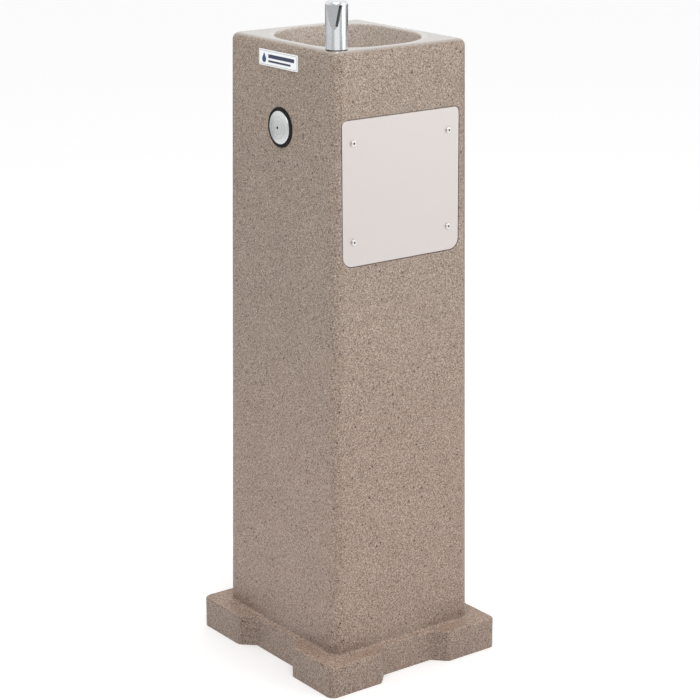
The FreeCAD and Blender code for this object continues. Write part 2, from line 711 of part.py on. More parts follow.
def scoop():
    """Sloping flat on the bubbler's side, under a thin hood, with a slit beside it."""
    top = BUBBLER_TALL - SCOOP_HOOD
    outside = 2 * BUBBLER_RADIUS
    slope = (BUBBLER_RADIUS - SCOOP_REACH) / SCOOP_LENGTH
    low = top - (outside - SCOOP_REACH) / slope
    side = [V(SCOOP_REACH, -outside, top), V(outside, -outside, low), V(outside, -outside, top)]
    wedge = Part.Face(Part.makePolygon(side + side[:1])).extrude(V(0, 2 * outside, 0))
    slit = block((SCOOP_REACH - SLIT_DEPTH, -SLIT_WIDTH / 2, -SLIT_LENGTH), (outside, SLIT_WIDTH / 2, 0.0))
    slit.rotate(V(0, 0, 0), V(1, 0, 0), -SLIT_LEAN)
    slit.translate(V(0, SLIT_ACROSS, top))
    below_hood = block((0.0, -outside, 0.0), (outside, outside, top))
    return wedge.fuse(slit.common(below_hood))


def bubbler_head():
    head = cylinder(BUBBLER_RADIUS, 0.0, BUBBLER_TALL)
    head = head.makeFillet(BUBBLER_TOP_RADIUS, upper_edges(head, PAST))
    head = head.cut(cylinder(SHANK_RADIUS, -PAST, SHANK_INTO_HEAD))
    head = head.cut(cylinder(SHANK_BORE, 0.0, BUBBLER_TALL - SCOOP_HOOD - SLIT_LENGTH + SLIT_WIDTH))
    cut = scoop()
    cut.rotate(V(0, 0, 0), UP, SCOOP_TURN)
    head = head.cut(cut)
    head.translate(V(BUBBLER_X, BUBBLER_Y, BUBBLER_BOTTOM))
    return head


def bubbler_gasket():
    return at_bubbler(BUBBLER_RADIUS - BUBBLER_GASKET_MARGIN, RIM_HEIGHT, BUBBLER_BOTTOM, SHANK_RADIUS)


SHANK_LOW = BUBBLER_BOTTOM - SHANK_END
RIM_UNDERSIDE = RIM_HEIGHT - WALL


def bubbler_shank():
    high = BUBBLER_BOTTOM + SHANK_INTO_HEAD
    shank = at_bubbler(SHANK_RADIUS, SHANK_LOW + SHANK_SPIGOT_LENGTH, high)
    shank = shank.fuse(at_bubbler(SHANK_SPIGOT_RADIUS, SHANK_LOW, high))
    return shank.cut(at_bubbler(SHANK_BORE, SHANK_LOW - PAST, high + PAST))


def bubbler_washer():
    return at_bubbler(WASHER_RADIUS, RIM_UNDERSIDE - WASHER_THICKNESS, RIM_UNDERSIDE, SHANK_RADIUS)


def bubbler_locknut():
    high = RIM_UNDERSIDE - WASHER_THICKNESS
    return hex_nut(LOCKNUT_RADIUS, SHANK_RADIUS, high - LOCKNUT_LENGTH, high, BUBBLER_X, BUBBLER_Y)


def tube_nut(spigot, overlap):
    """Compression nut drawn along +Z: tube enters at the bottom, spigot at the top."""
    nut = hex_nut(TUBE_NUT_RADIUS, TUBE_RADIUS, 0.0, TUBE_NUT_LENGTH)
    return nut.cut(cylinder(spigot, TUBE_NUT_LENGTH - overlap, TUBE_NUT_LENGTH + PAST))


def bubbler_tube_nut():
    nut = tube_nut(SHANK_SPIGOT_RADIUS, SHANK_SPIGOT_LENGTH - PAST)
    nut.translate(V(BUBBLER_X, BUBBLER_Y, SHANK_LOW + SHANK_SPIGOT_LENGTH - PAST - TUBE_NUT_LENGTH))
    return nut


# ---- small tubes between the riser, the valve and the bubbler

def bend(start, corner, end, radius):
    """Route from start to end with one tangent arc at the corner."""
    back = (start - corner).normalize()
    ahead = (end - corner).normalize()
    enter = corner + back * radius
    leave = corner + ahead * radius
    middle = corner + (back + ahead) * radius - (back + ahead).normalize() * radius
    return Part.Wire([Part.LineSegment(start, enter).toShape(),
                      Part.Arc(enter, middle, leave).toShape(),
                      Part.LineSegment(leave, end).toShape()])


def outlet_tube():
    port_centre = valve_point(outlet_depth())
    start = port_centre + V(PORT_REACH, 0, 0)
    corner = V(BUBBLER_X, port_centre.y, port_centre.z)
    return swept(bend(start, corner, V(BUBBLER_X, BUBBLER_Y, SHANK_LOW), TUBE_BEND), TUBE_RADIUS, TUBE_BORE)


def inlet_tube():
    port_centre = valve_point(INLET_DEPTH)
    start = port_centre - V(PORT_REACH, 0, 0)
    corner = V(RISER_X, port_centre.y, port_centre.z)
    end = V(RISER_X, port_centre.y, STRAINER_BOTTOM + STRAINER_LENGTH)
    return swept(bend(start, corner, end, TUBE_BEND), TUBE_RADIUS, TUBE_BORE)


def port_nut(side, depth):
    overlap = TUBE_NUT_LENGTH / 2
    nut = tube_nut(PORT_RADIUS, overlap)
    nut.rotate(V(0, 0, 0), V(0, 1, 0), -90.0 * side)
    nut.translate(valve_point(depth) + V(side * (PORT_REACH - overlap + TUBE_NUT_LENGTH), 0, 0))
    return nut


def outlet_nut():
    return port_nut(1, outlet_depth())


def inlet_nut():
    return port_nut(-1, INLET_DEPTH)


# ---- supply riser

STRAINER_TOP = STRAINER_BOTTOM + STRAINER_LENGTH
STOP_LOW = STOP_HEIGHT - STOP_HALF_LENGTH
STOP_HIGH = STOP_HEIGHT + STOP_HALF_LENGTH


def strainer_nut():
    overlap = TUBE_NUT_LENGTH / 2
    nut = tube_nut(PORT_RADIUS, overlap)
    nut.rotate(V(0, 0, 0), V(1, 0, 0), 180.0)
    nut.translate(V(RISER_X, RISER_Y, STRAINER_TOP - overlap + TUBE_NUT_LENGTH))
    return nut


def inline_strainer():
    neck_top = STRAINER_TOP - STRAINER_NECK_LENGTH
    barrel_low = STRAINER_BOTTOM + STRAINER_NECK_LENGTH
    body = on_riser(STRAINER_NECK_RADIUS, STRAINER_BOTTOM, neck_top)
    barrel = on_riser(STRAINER_RADIUS, barrel_low, neck_top)
    body = body.fuse(barrel.makeFillet(STRAINER_END_RADIUS, [barrel.Edges[0], barrel.Edges[2]]))
    body = body.fuse(on_riser(PORT_RADIUS, neck_top, STRAINER_TOP))
    body = body.cut(on_riser(PIPE_RADIUS, STRAINER_BOTTOM - PAST, STRAINER_BOTTOM + SOCKET_DEPTH))
    body = body.cut(on_riser(PIPE_RADIUS, barrel_low, neck_top - STRAINER_NECK_LENGTH / 2))
    return body.cut(on_riser(TUBE_BORE, STRAINER_BOTTOM, STRAINER_TOP + PAST))


def link_pipe():
    low = STOP_HIGH - SOCKET_DEPTH + LINK_CLEAR
    return on_riser(PIPE_RADIUS, low, STRAINER_BOTTOM + SOCKET_DEPTH - LINK_CLEAR, PIPE_BORE)


def across_riser(radius, start, end):
    """Cylinder along +X from the riser's centre line, at the stop valve's height."""
    return Part.makeCylinder(radius, end - start, V(RISER_X + start, RISER_Y, STOP_HEIGHT), V(1, 0, 0))


def stop_valve_body():
    body = on_riser(STOP_NECK_RADIUS, STOP_LOW, STOP_HIGH)
    body = body.fuse(Part.makeSphere(STOP_HOUSING_RADIUS, V(RISER_X, RISER_Y, STOP_HEIGHT)))
    body = body.fuse(hexagon(STOP_HEX_RADIUS, STOP_HIGH - STOP_HEX_LENGTH, STOP_HIGH, RISER_X, RISER_Y))
    body = body.fuse(across_riser(STOP_BONNET_RADIUS, 0.0, STOP_BONNET_END))
    body = body.cut(Part.makeSphere(BALL_CAVITY_RADIUS, V(RISER_X, RISER_Y, STOP_HEIGHT)))
    body = body.cut(across_riser(STOP_STEM_RADIUS + FIT_GAP, 0.0, STOP_BONNET_END + PAST))
    body = body.cut(on_riser(PIPE_RADIUS, STOP_LOW - PAST, STOP_LOW + SOCKET_DEPTH))
    body = body.cut(on_riser(PIPE_RADIUS, STOP_HIGH - SOCKET_DEPTH, STOP_HIGH + PAST))
    return body.cut(on_riser(BALL_BORE, STOP_LOW, STOP_HIGH))


def stop_valve_ball():
    ball = Part.makeSphere(BALL_RADIUS, V(RISER_X, RISER_Y, STOP_HEIGHT))
    ball = ball.cut(on_riser(BALL_BORE, STOP_LOW, STOP_HIGH))
    return ball.cut(across_riser(STOP_STEM_RADIUS, STOP_STEM_START, STOP_STEM_END))


def stop_valve_stem():
    return across_riser(STOP_STEM_RADIUS, STOP_STEM_START, STOP_STEM_END)


def nut_across_riser(corner_radius, bore, start, end):
    nut = hex_nut(corner_radius, bore, 0.0, end - start)
    nut.rotate(V(0, 0, 0), V(0, 1, 0), 90.0)
    nut.translate(V(RISER_X + start, RISER_Y, STOP_HEIGHT))
    return nut


def packing_nut():
    return nut_across_riser(STOP_BONNET_RADIUS, STOP_STEM_RADIUS + FIT_GAP,
                            STOP_BONNET_END, STOP_BONNET_END + PACKING_NUT_LENGTH)


def lever_arm(half_width, low, high, thickness, start):
    return block((RISER_X + start, RISER_Y - half_width, STOP_HEIGHT + low),
                 (RISER_X + start + thickness, RISER_Y + half_width, STOP_HEIGHT + high))


def stop_valve_lever():
    lever = across_riser(LEVER_HUB_RADIUS, LEVER_START, LEVER_START + LEVER_THICKNESS)
    lever = lever.fuse(lever_arm(LEVER_HALF_WIDTH, 0.0, LEVER_LENGTH, LEVER_THICKNESS, LEVER_START))
    return lever.cut(across_riser(STOP_STEM_RADIUS, 0.0, STOP_STEM_END))


def lever_grip():
    low = LEVER_LENGTH - GRIP_LENGTH
    thickness = LEVER_THICKNESS + 2 * GRIP_WALL
    grip = lever_arm(LEVER_HALF_WIDTH + GRIP_WALL, low, LEVER_LENGTH + GRIP_WALL,
                     thickness, LEVER_START - GRIP_WALL)
    grip = grip.makeFillet(GRIP_WALL, [e for e in grip.Edges if abs(e.Length - thickness) < TOUCHING])
    return grip.cut(lever_arm(LEVER_HALF_WIDTH, 0.0, LEVER_LENGTH, LEVER_THICKNESS, LEVER_START))


def lever_nut():
    start = LEVER_START + LEVER_THICKNESS
    return nut_across_riser(LEVER_NUT_RADIUS, STOP_STEM_RADIUS, start, start + LEVER_NUT_LENGTH)


def supply_pipe():
    low = ADAPTER_LENGTH - SOCKET_DEPTH
    return on_riser(PIPE_RADIUS, low, STOP_LOW + SOCKET_DEPTH - LINK_CLEAR, PIPE_BORE)


def supply_nut():
    high = STOP_LOW + PIPE_NUT_OVERLAP
    nut = hex_nut(PIPE_NUT_RADIUS, PIPE_RADIUS, high - PIPE_NUT_LENGTH, high, RISER_X, RISER_Y)
    return nut.cut(on_riser(STOP_NECK_RADIUS, STOP_LOW, high + PAST))


def supply_adapter():
    thread = on_riser(ADAPTER_RADIUS, 0.0, ADAPTER_LENGTH)
    body = thread.fuse(hexagon(ADAPTER_HEX_RADIUS, ADAPTER_THREAD, ADAPTER_LENGTH, RISER_X, RISER_Y))
    body = body.cut(on_riser(PIPE_RADIUS, ADAPTER_LENGTH - SOCKET_DEPTH, ADAPTER_LENGTH + PAST))
    return body.cut(on_riser(PIPE_BORE, -PAST, ADAPTER_LENGTH))


# ---- drain

GRATE_SEAT = SUMP_FLOOR + DRAIN_GASKET + DRAIN_FLANGE_THICKNESS - GRATE_THICKNESS
DRAIN_LOW = SUMP_FLOOR - DRAIN_LENGTH
CROSSBAR_TOP = GRATE_SEAT - CROSSBAR_DROP
WASTE_X = -2 * TRAP_BEND
WASTE_Y = 2 * TRAP_BEND


def drain_gasket():
    return ring(DRAIN_FLANGE_RADIUS, DRAIN_RADIUS, SUMP_FLOOR, SUMP_FLOOR + DRAIN_GASKET)


def drain_body():
    low = SUMP_FLOOR + DRAIN_GASKET
    high = low + DRAIN_FLANGE_THICKNESS
    body = cylinder(DRAIN_FLANGE_RADIUS, low, high)
    body = body.makeFillet(DRAIN_FLANGE_ROUND, upper_edges(body, high - PAST / 2))
    body = body.fuse(cylinder(DRAIN_RADIUS, DRAIN_LOW, high - PAST))
    body = body.cut(cylinder(GRATE_RADIUS + FIT_GAP, GRATE_SEAT, high + PAST))
    body = body.cut(cylinder(DRAIN_BORE, DRAIN_LOW - PAST, high))
    bar = block((-DRAIN_RADIUS + PAST, -CROSSBAR_WIDTH / 2, CROSSBAR_TOP - CROSSBAR_THICKNESS),
                (DRAIN_RADIUS - PAST, CROSSBAR_WIDTH / 2, CROSSBAR_TOP))
    body = body.fuse(bar)
    return body.cut(cylinder(GRATE_SCREW_RADIUS, CROSSBAR_TOP - 2 * CROSSBAR_THICKNESS, high))


def drain_grate():
    grate = cylinder(GRATE_RADIUS, GRATE_SEAT, GRATE_SEAT + GRATE_THICKNESS)
    low = GRATE_SEAT - PAST
    high = GRATE_SEAT + 2 * GRATE_THICKNESS
    holes = [cylinder(GRATE_SCREW_RADIUS, low, high)]
    for pitch_radius, count in GRATE_RINGS:
        for index in range(count):
            turn = 2 * math.pi * (index + 0.5) / count
            x = pitch_radius * math.cos(turn)
            y = pitch_radius * math.sin(turn)
            holes.append(cylinder(GRATE_HOLE_RADIUS, low, high, x, y))
    return grate.cut(Part.makeCompound(holes))


def grate_screw():
    low = GRATE_SEAT + GRATE_THICKNESS
    head = cylinder(GRATE_SCREW_HEAD, low, low + GRATE_SCREW_HEAD_HEIGHT)
    head = head.makeFillet(GRATE_SCREW_HEAD_ROUND, upper_edges(head, low + PAST))
    return head.fuse(cylinder(GRATE_SCREW_RADIUS, CROSSBAR_TOP - CROSSBAR_THICKNESS, low))


def drain_locknut():
    high = SUMP_FLOOR - WALL
    return hex_nut(DRAIN_NUT_RADIUS, DRAIN_RADIUS, high - DRAIN_NUT_LENGTH, high)


def tailpiece():
    tube = cylinder(WASTE_TUBE_RADIUS, TAILPIECE_BOTTOM, DRAIN_LOW)
    tube = tube.fuse(cylinder(DRAIN_RADIUS, DRAIN_LOW - SLIP_FLANGE, DRAIN_LOW))
    return tube.cut(cylinder(WASTE_TUBE_BORE, TAILPIECE_BOTTOM - PAST, DRAIN_LOW + PAST))


def tailpiece_nut():
    middle = DRAIN_LOW - SLIP_FLANGE
    nut = hex_nut(TAILPIECE_NUT_RADIUS, DRAIN_RADIUS, middle, middle + SLIP_NUT_LENGTH / 2)
    return nut.fuse(hex_nut(TAILPIECE_NUT_RADIUS, WASTE_TUBE_RADIUS, middle - SLIP_NUT_LENGTH / 2, middle))


def u_bend(first, second, turn_height, start_low, end_low, over):
    """Two upright legs joined by a half circle under them, or over them."""
    middle = (first + second) / 2
    lift = (second - first).Length / 2 * (1 if over else -1)
    turn_a = V(first.x, first.y, turn_height)
    turn_b = V(second.x, second.y, turn_height)
    return Part.Wire([Part.LineSegment(V(first.x, first.y, start_low), turn_a).toShape(),
                      Part.Arc(turn_a, V(middle.x, middle.y, turn_height + lift), turn_b).toShape(),
                      Part.LineSegment(turn_b, V(second.x, second.y, end_low)).toShape()])


def trap_bend():
    route = u_bend(V(0, 0, 0), V(WASTE_X, 0, 0), TRAP_BEND_HEIGHT, TRAP_INLET, TRAP_OUTLET, False)
    return swept(route, TRAP_RADIUS, TRAP_BORE)


def crown_bend():
    start = V(WASTE_X, 0, 0)
    end = V(WASTE_X, WASTE_Y, 0)
    route = u_bend(start, end, CROWN_BEND_HEIGHT, CROWN_INLET, WASTE_JOINT, True)
    return swept(route, WASTE_TUBE_RADIUS, WASTE_TUBE_BORE)


def trap_nut(height, x):
    low = hex_nut(TRAP_NUT_RADIUS, TRAP_RADIUS, height - SLIP_NUT_LENGTH / 2, height, x)
    return low.fuse(hex_nut(TRAP_NUT_RADIUS, WASTE_TUBE_RADIUS, height, height + SLIP_NUT_LENGTH / 3, x))


def trap_inlet_nut():
    return trap_nut(TRAP_INLET, 0.0)


def trap_outlet_nut():
    return trap_nut(TRAP_OUTLET, WASTE_X)


def waste_pipe():
    return ring(WASTE_TUBE_RADIUS, WASTE_TUBE_BORE, 0.0, WASTE_JOINT, WASTE_X, WASTE_Y)


def waste_adapter():
    return ring(WASTE_END_RADIUS, WASTE_TUBE_RADIUS, 0.0, WASTE_END_LENGTH, WASTE_X, WASTE_Y)


def waste_sleeve():
    return ring(SLEEVE_RADIUS, WASTE_TUBE_RADIUS, WASTE_JOINT - SLEEVE_HALF_LENGTH,
                WASTE_JOINT + SLEEVE_HALF_LENGTH, WASTE_X, WASTE_Y)


def sleeve_clamps():
    bands = []
    for side in (-1, 1):
        middle = WASTE_JOINT + side * CLAMP_OFFSET
        bands.append(ring(CLAMP_RADIUS, SLEEVE_RADIUS, middle - CLAMP_WIDTH / 2, middle + CLAMP_WIDTH / 2,
                          WASTE_X, WASTE_Y))
    return Part.makeCompound(bands)


NODES = (
    pedestal_shell, panel_gasket, access_panel, panel_screws, panel_inserts, nameplate, nameplate_drop,
    button_bezel, bezel_locknut, push_button, button_stem, valve_poppet, valve_seat, return_spring,
    valve_body, regulator_screw, bubbler_head, bubbler_gasket, bubbler_shank, bubbler_washer,
    bubbler_locknut, bubbler_tube_nut, outlet_tube, outlet_nut, inlet_tube, inlet_nut, strainer_nut,
    inline_strainer, link_pipe, stop_valve_body, stop_valve_ball, stop_valve_stem, packing_nut,
    stop_valve_lever, lever_grip, lever_nut, supply_pipe, supply_nut, supply_adapter, drain_gasket,
    drain_body, drain_grate, grate_screw, drain_locknut, tailpiece, tailpiece_nut, trap_bend,
    trap_inlet_nut, crown_bend, trap_outlet_nut, waste_pipe, waste_adapter, waste_sleeve, sleeve_clamps,
)


def main():
    os.makedirs("parts", exist_ok=True)
    for make in NODES:
        make().exportStep(os.path.join("parts", make.__name__ + ".step"))


main()
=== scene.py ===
"""Pedestal drinking fountain: finishes, small detail pieces, floor, light and camera."""

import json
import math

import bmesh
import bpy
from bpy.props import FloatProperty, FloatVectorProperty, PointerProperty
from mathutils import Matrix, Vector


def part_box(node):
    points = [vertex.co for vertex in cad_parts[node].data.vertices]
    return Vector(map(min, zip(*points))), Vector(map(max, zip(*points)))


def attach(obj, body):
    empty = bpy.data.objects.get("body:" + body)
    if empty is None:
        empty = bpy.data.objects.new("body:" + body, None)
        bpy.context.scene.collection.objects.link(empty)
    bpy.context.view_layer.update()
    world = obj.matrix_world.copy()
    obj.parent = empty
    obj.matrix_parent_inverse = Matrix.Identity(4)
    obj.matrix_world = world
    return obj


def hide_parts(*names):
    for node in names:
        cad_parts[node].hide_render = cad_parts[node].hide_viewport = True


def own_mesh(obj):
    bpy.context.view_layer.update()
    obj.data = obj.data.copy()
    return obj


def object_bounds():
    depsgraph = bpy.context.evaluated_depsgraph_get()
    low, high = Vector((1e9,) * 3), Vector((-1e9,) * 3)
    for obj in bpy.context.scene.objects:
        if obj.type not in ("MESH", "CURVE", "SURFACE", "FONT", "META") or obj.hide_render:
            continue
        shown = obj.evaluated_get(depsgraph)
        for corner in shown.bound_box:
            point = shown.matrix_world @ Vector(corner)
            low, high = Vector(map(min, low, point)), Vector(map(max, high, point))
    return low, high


bl_info = {
    "name": "Pedestal drinking fountain",
    "version": (1, 0, 0),
    "blender": (4, 5, 0),
    "location": "3D View > Sidebar > Fountain",
    "description": "Finishes and details a pedestal drinking fountain on its measured parts",
    "category": "Object",
}

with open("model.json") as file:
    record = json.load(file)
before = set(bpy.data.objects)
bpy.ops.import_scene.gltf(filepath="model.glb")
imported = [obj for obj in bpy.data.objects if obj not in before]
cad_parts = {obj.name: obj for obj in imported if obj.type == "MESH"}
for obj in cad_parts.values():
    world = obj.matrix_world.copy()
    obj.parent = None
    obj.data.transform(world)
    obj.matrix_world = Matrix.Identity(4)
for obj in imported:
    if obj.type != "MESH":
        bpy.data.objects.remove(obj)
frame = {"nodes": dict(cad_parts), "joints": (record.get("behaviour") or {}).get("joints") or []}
CAD_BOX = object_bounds()
MM = 0.001
# The bowl's opening at the rim: half sizes, and its tight and wide corner radii.
BOWL_HALF_X = 106.5 * MM
BOWL_HALF_Y = 95.0 * MM
BOWL_CORNERS = (64.0 * MM, 92.0 * MM)
# A turned profile's points on the axis stay this far off it, so that no face is empty.
ON_AXIS = 0.0001 * MM
# How far a print is sunk into the face that it stands on.
SUNK = 0.02 * MM
# A colour mix node's sockets by their places, because several of them share a name.
SHARE, FIRST, SECOND, MIXED = 0, 6, 7, 2


# ---- general helpers

def linear(hex_code):
    """Linear RGBA of an sRGB hex colour."""
    parts = [int(hex_code[place:place + 2], 16) / 255 for place in (0, 2, 4)]
    return [c / 12.92 if c <= 0.04045 else ((c + 0.055) / 1.055) ** 2.4 for c in parts] + [1.0]


def per_mm(size):
    """Texture scale whose features are this many millimetres across."""
    return 1.0 / (size * MM)


def add_node(tree, kind, settings=None, inputs=None):
    """Adds one shader node with its settings, its values and the links into it."""
    node = tree.nodes.new(kind)
    for name, value in (settings or {}).items():
        setattr(node, name, value)
    for name, value in (inputs or {}).items():
        if isinstance(value, bpy.types.NodeSocket):
            tree.links.new(value, node.inputs[name])
        else:
            node.inputs[name].default_value = value
    return node


def new_finish(name):
    """An empty material: its node tree and its main shader."""
    material = bpy.data.materials.new(name)
    material.use_nodes = True
    tree = material.node_tree
    tree.nodes.clear()
    shader = add_node(tree, "ShaderNodeBsdfPrincipled")
    add_node(tree, "ShaderNodeOutputMaterial", inputs={"Surface": shader.outputs["BSDF"]})
    return material, tree, shader


def wire(tree, source, shader, socket):
    """Links a pattern to one of the main shader's sockets."""
    tree.links.new(source, shader.inputs[socket])


def finish_nodes(material, *names):
    """Gives CAD nodes a material in every slot."""
    for name in names:
        mesh = frame["nodes"][name].data
        if not mesh.materials:
            mesh.materials.append(material)
        for slot in range(len(mesh.materials)):
            mesh.materials[slot] = material


def mesh_object(name, mesh, material):
    """Puts a finished mesh in the scene with its material."""
    data = bpy.data.meshes.new(name)
    mesh.to_mesh(data)
    mesh.free()
    data.materials.append(material)
    item = bpy.data.objects.new(name, data)
    bpy.context.scene.collection.objects.link(item)
    return item


def new_piece(name, mesh, material, body):
    """Puts a finished mesh in the scene, riding on a CAD body."""
    piece = mesh_object(name, mesh, material)
    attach(piece, body)
    return piece


def joint_named(name):
    """The frame's joint of this name."""
    return next(joint for joint in frame["joints"] if joint["name"] == name)


def slope_frame(centre, outward):
    """Frame on a sloping face: X across, Y up the slope, Z outwards."""
    across = Vector((0, 0, 1)).cross(outward).normalized()
    up = outward.cross(across)
    turn = Matrix((across, up, outward)).transposed().to_4x4()
    return Matrix.Translation(centre) @ turn


def front_outward():
    """Outward direction of the front face: against the way the button is pushed."""
    return -Vector(joint_named("button_press")["axis"]).normalized()


def join_rings(mesh, rings):
    """Skins a run of rings that have the same number of points, and closes its two ends."""
    count = len(rings[0])
    for here, after in zip(rings, rings[1:]):
        for index in range(count):
            other = (index + 1) % count
            mesh.faces.new((here[index], here[other], after[other], after[index]))
    mesh.faces.new(rings[0][::-1])
    mesh.faces.new(rings[-1])


def plate_on(mesh, place, corners, low, high):
    """Adds a flat plate with this outline, from low to high along the frame's Z."""
    join_rings(mesh, [[mesh.verts.new(place @ Vector((x, y, z))) for x, y in corners]
                      for z in (low, high)])


def frame_loop(mesh, place, outer, inner, low, high):
    """Adds a closed flat frame between two outlines with the same number of points."""
    rings = [[mesh.verts.new(place @ Vector((x, y, z))) for x, y in outline]
             for outline, z in ((outer, low), (outer, high), (inner, high), (inner, low))]
    count = len(outer)
    for here, other in zip(rings, rings[1:] + rings[:1]):
        for index in range(count):
            after = (index + 1) % count
            mesh.faces.new((here[index], here[after], other[after], other[index]))


def round_corners(half_x, half_y, radius, x=0.0, y=0.0, steps=6):
    """Outline of a rectangle with round corners about this middle, anticlockwise."""
    corners = []
    for quarter, (side_x, side_y) in enumerate(((1, 1), (-1, 1), (-1, -1), (1, -1))):
        for step in range(steps + 1):
            turn = math.pi / 2 * (quarter + step / steps)
            corners.append((x + side_x * (half_x - radius) + radius * math.cos(turn),
                            y + side_y * (half_y - radius) + radius * math.sin(turn)))
    return corners


def lathe(mesh, place, profile, steps=96):
    """Turns a closed (radius, height) profile round the frame's Z."""
    rings = []
    for step in range(steps):
        turn = 2 * math.pi * step / steps
        rings.append([
            mesh.verts.new(place @ Vector((r * math.cos(turn), r * math.sin(turn), z)))
            for r, z in profile])
    for step in range(steps):
        here, after = rings[step], rings[(step + 1) % steps]
        for index in range(len(profile)):
            other = (index + 1) % len(profile)
            mesh.faces.new((here[index], after[index], after[other], here[other]))


def helix_ridge(mesh, centre, radius, low, high, pitch, depth, steps=40):
    """A rolled thread: one ridge wound up a cylinder along Z, which runs out at its ends."""
    root, crest_lift, top_lift = -0.05 * MM, 0.4 * pitch, 0.8 * pitch
    run_out = 0.5 * steps
    count = int(((high - low) / pitch - 1) * steps)
    rings = []
    for step in range(count + 1):
        angle = 2 * math.pi * step / steps
        rise = low + pitch * step / steps
        crest = depth * min(1.0, step / run_out, (count - step) / run_out)
        ring = []
        for reach, lift in ((root, 0.0), (crest, crest_lift), (root, top_lift)):
            r = radius + reach
            ring.append(mesh.verts.new(centre + Vector((
                r * math.cos(angle), r * math.sin(angle), rise + lift))))
        rings.append(ring)
    join_rings(mesh, rings)


def tidy(mesh, smooth=True):
    """Turns every face outwards and shades it smooth or flat."""
    bmesh.ops.recalc_face_normals(mesh, faces=mesh.faces)
    for face in mesh.faces:
        face.smooth = smooth


# ---- what a user would change

class FountainFinish(bpy.types.PropertyGroup):
    """Colours of the visible finishes."""
    stone: FloatVectorProperty(
        name="Stone ground", description="Ground colour of the speckled moulding",
        default=linear("917E6F")[:3], subtype="COLOR", size=3, min=0, max=1)
    stone_dark: FloatVectorProperty(
        name="Dark fleck", description="Colour of the darkest flecks",
        default=linear("4E4034")[:3], subtype="COLOR", size=3, min=0, max=1)
    stone_light: FloatVectorProperty(
        name="Light fleck", description="Colour of the palest flecks",
        default=linear("C2B6AA")[:3], subtype="COLOR", size=3, min=0, max=1)
    plate: FloatVectorProperty(
        name="Access panel", description="Colour of the matt stainless panel",
        default=linear("CCC5C2")[:3], subtype="COLOR", size=3, min=0, max=1)
    emblem: FloatVectorProperty(
        name="Name plate print", description="Colour of the plain print on the name plate",
        default=linear("2B4C74")[:3], subtype="COLOR", size=3, min=0, max=1)


class FountainSizes(bpy.types.PropertyGroup):
    """Sizes of the added details and of the surface grain."""
    grain: FloatProperty(
        name="Grain", description="Width of one stone grain in the moulding",
        default=1.7 * MM, unit="LENGTH", min=0.5 * MM, max=20 * MM)
    fleck: FloatProperty(
        name="Fleck spacing", description="Distance between dark flecks",
        default=3.6 * MM, unit="LENGTH", min=1 * MM, max=40 * MM)
    print_depth: FloatProperty(
        name="Print depth", description="How far the name plate's print stands up",
        default=0.15 * MM, unit="LENGTH", min=0.02 * MM, max=1 * MM)
    ring_radius: FloatProperty(
        name="Button ring", description="Radius of the outer turned ring on the push button",
        default=15.0 * MM, unit="LENGTH", min=4 * MM, max=20 * MM)


class FountainView(bpy.types.PropertyGroup):
    """Where the camera stands and how bright the studio is."""
    azimuth: FloatProperty(
        name="Azimuth", description="Camera's turn round the fountain, from the front to the right",
        default=math.radians(53.21), unit="ROTATION")
    elevation: FloatProperty(
        name="Elevation", description="Camera's height angle",
        default=math.radians(16.5), unit="ROTATION")
    distance: FloatProperty(
        name="Distance", description="Camera's distance from the middle of the column",
        default=3.1108, unit="LENGTH", min=0.5, max=20)
    lens: FloatProperty(
        name="Lens", description="Focal length of the camera",
        default=109.23, unit="CAMERA", min=20, max=300)
    sky: FloatProperty(
        name="Sky", description="Strength of the even light from all round",
        default=0.95, min=0, max=5)


# ---- finishes

def fleck_mask(tree, place, spacing, radius, shift):
    """Soft-edged flecks of this radius, one to each cell of this spacing."""
    moved = add_node(tree, "ShaderNodeVectorMath", {"operation": "ADD"}, {
        0: place, 1: (shift, shift, shift)})
    cells = add_node(tree, "ShaderNodeTexVoronoi", inputs={
        "Vector": moved.outputs["Vector"], "Scale": 1 / spacing, "Randomness": 1.0})
    edge, softness = radius / spacing, 0.4
    mask = add_node(tree, "ShaderNodeMapRange", {"interpolation_type": "SMOOTHSTEP"}, {
        "Value": cells.outputs["Distance"],
        "From Min": edge * (1 - softness), "From Max": edge * (1 + softness),
        "To Min": 1.0, "To Max": 0.0})
    # Every fleck has its own strength, as the pigment grains do.
    pick = add_node(tree, "ShaderNodeSeparateColor", inputs={"Color": cells.outputs["Color"]})
    return add_node(tree, "ShaderNodeMath", {"operation": "MULTIPLY"}, {
        0: mask.outputs["Result"], 1: pick.outputs["Red"]}).outputs["Value"]


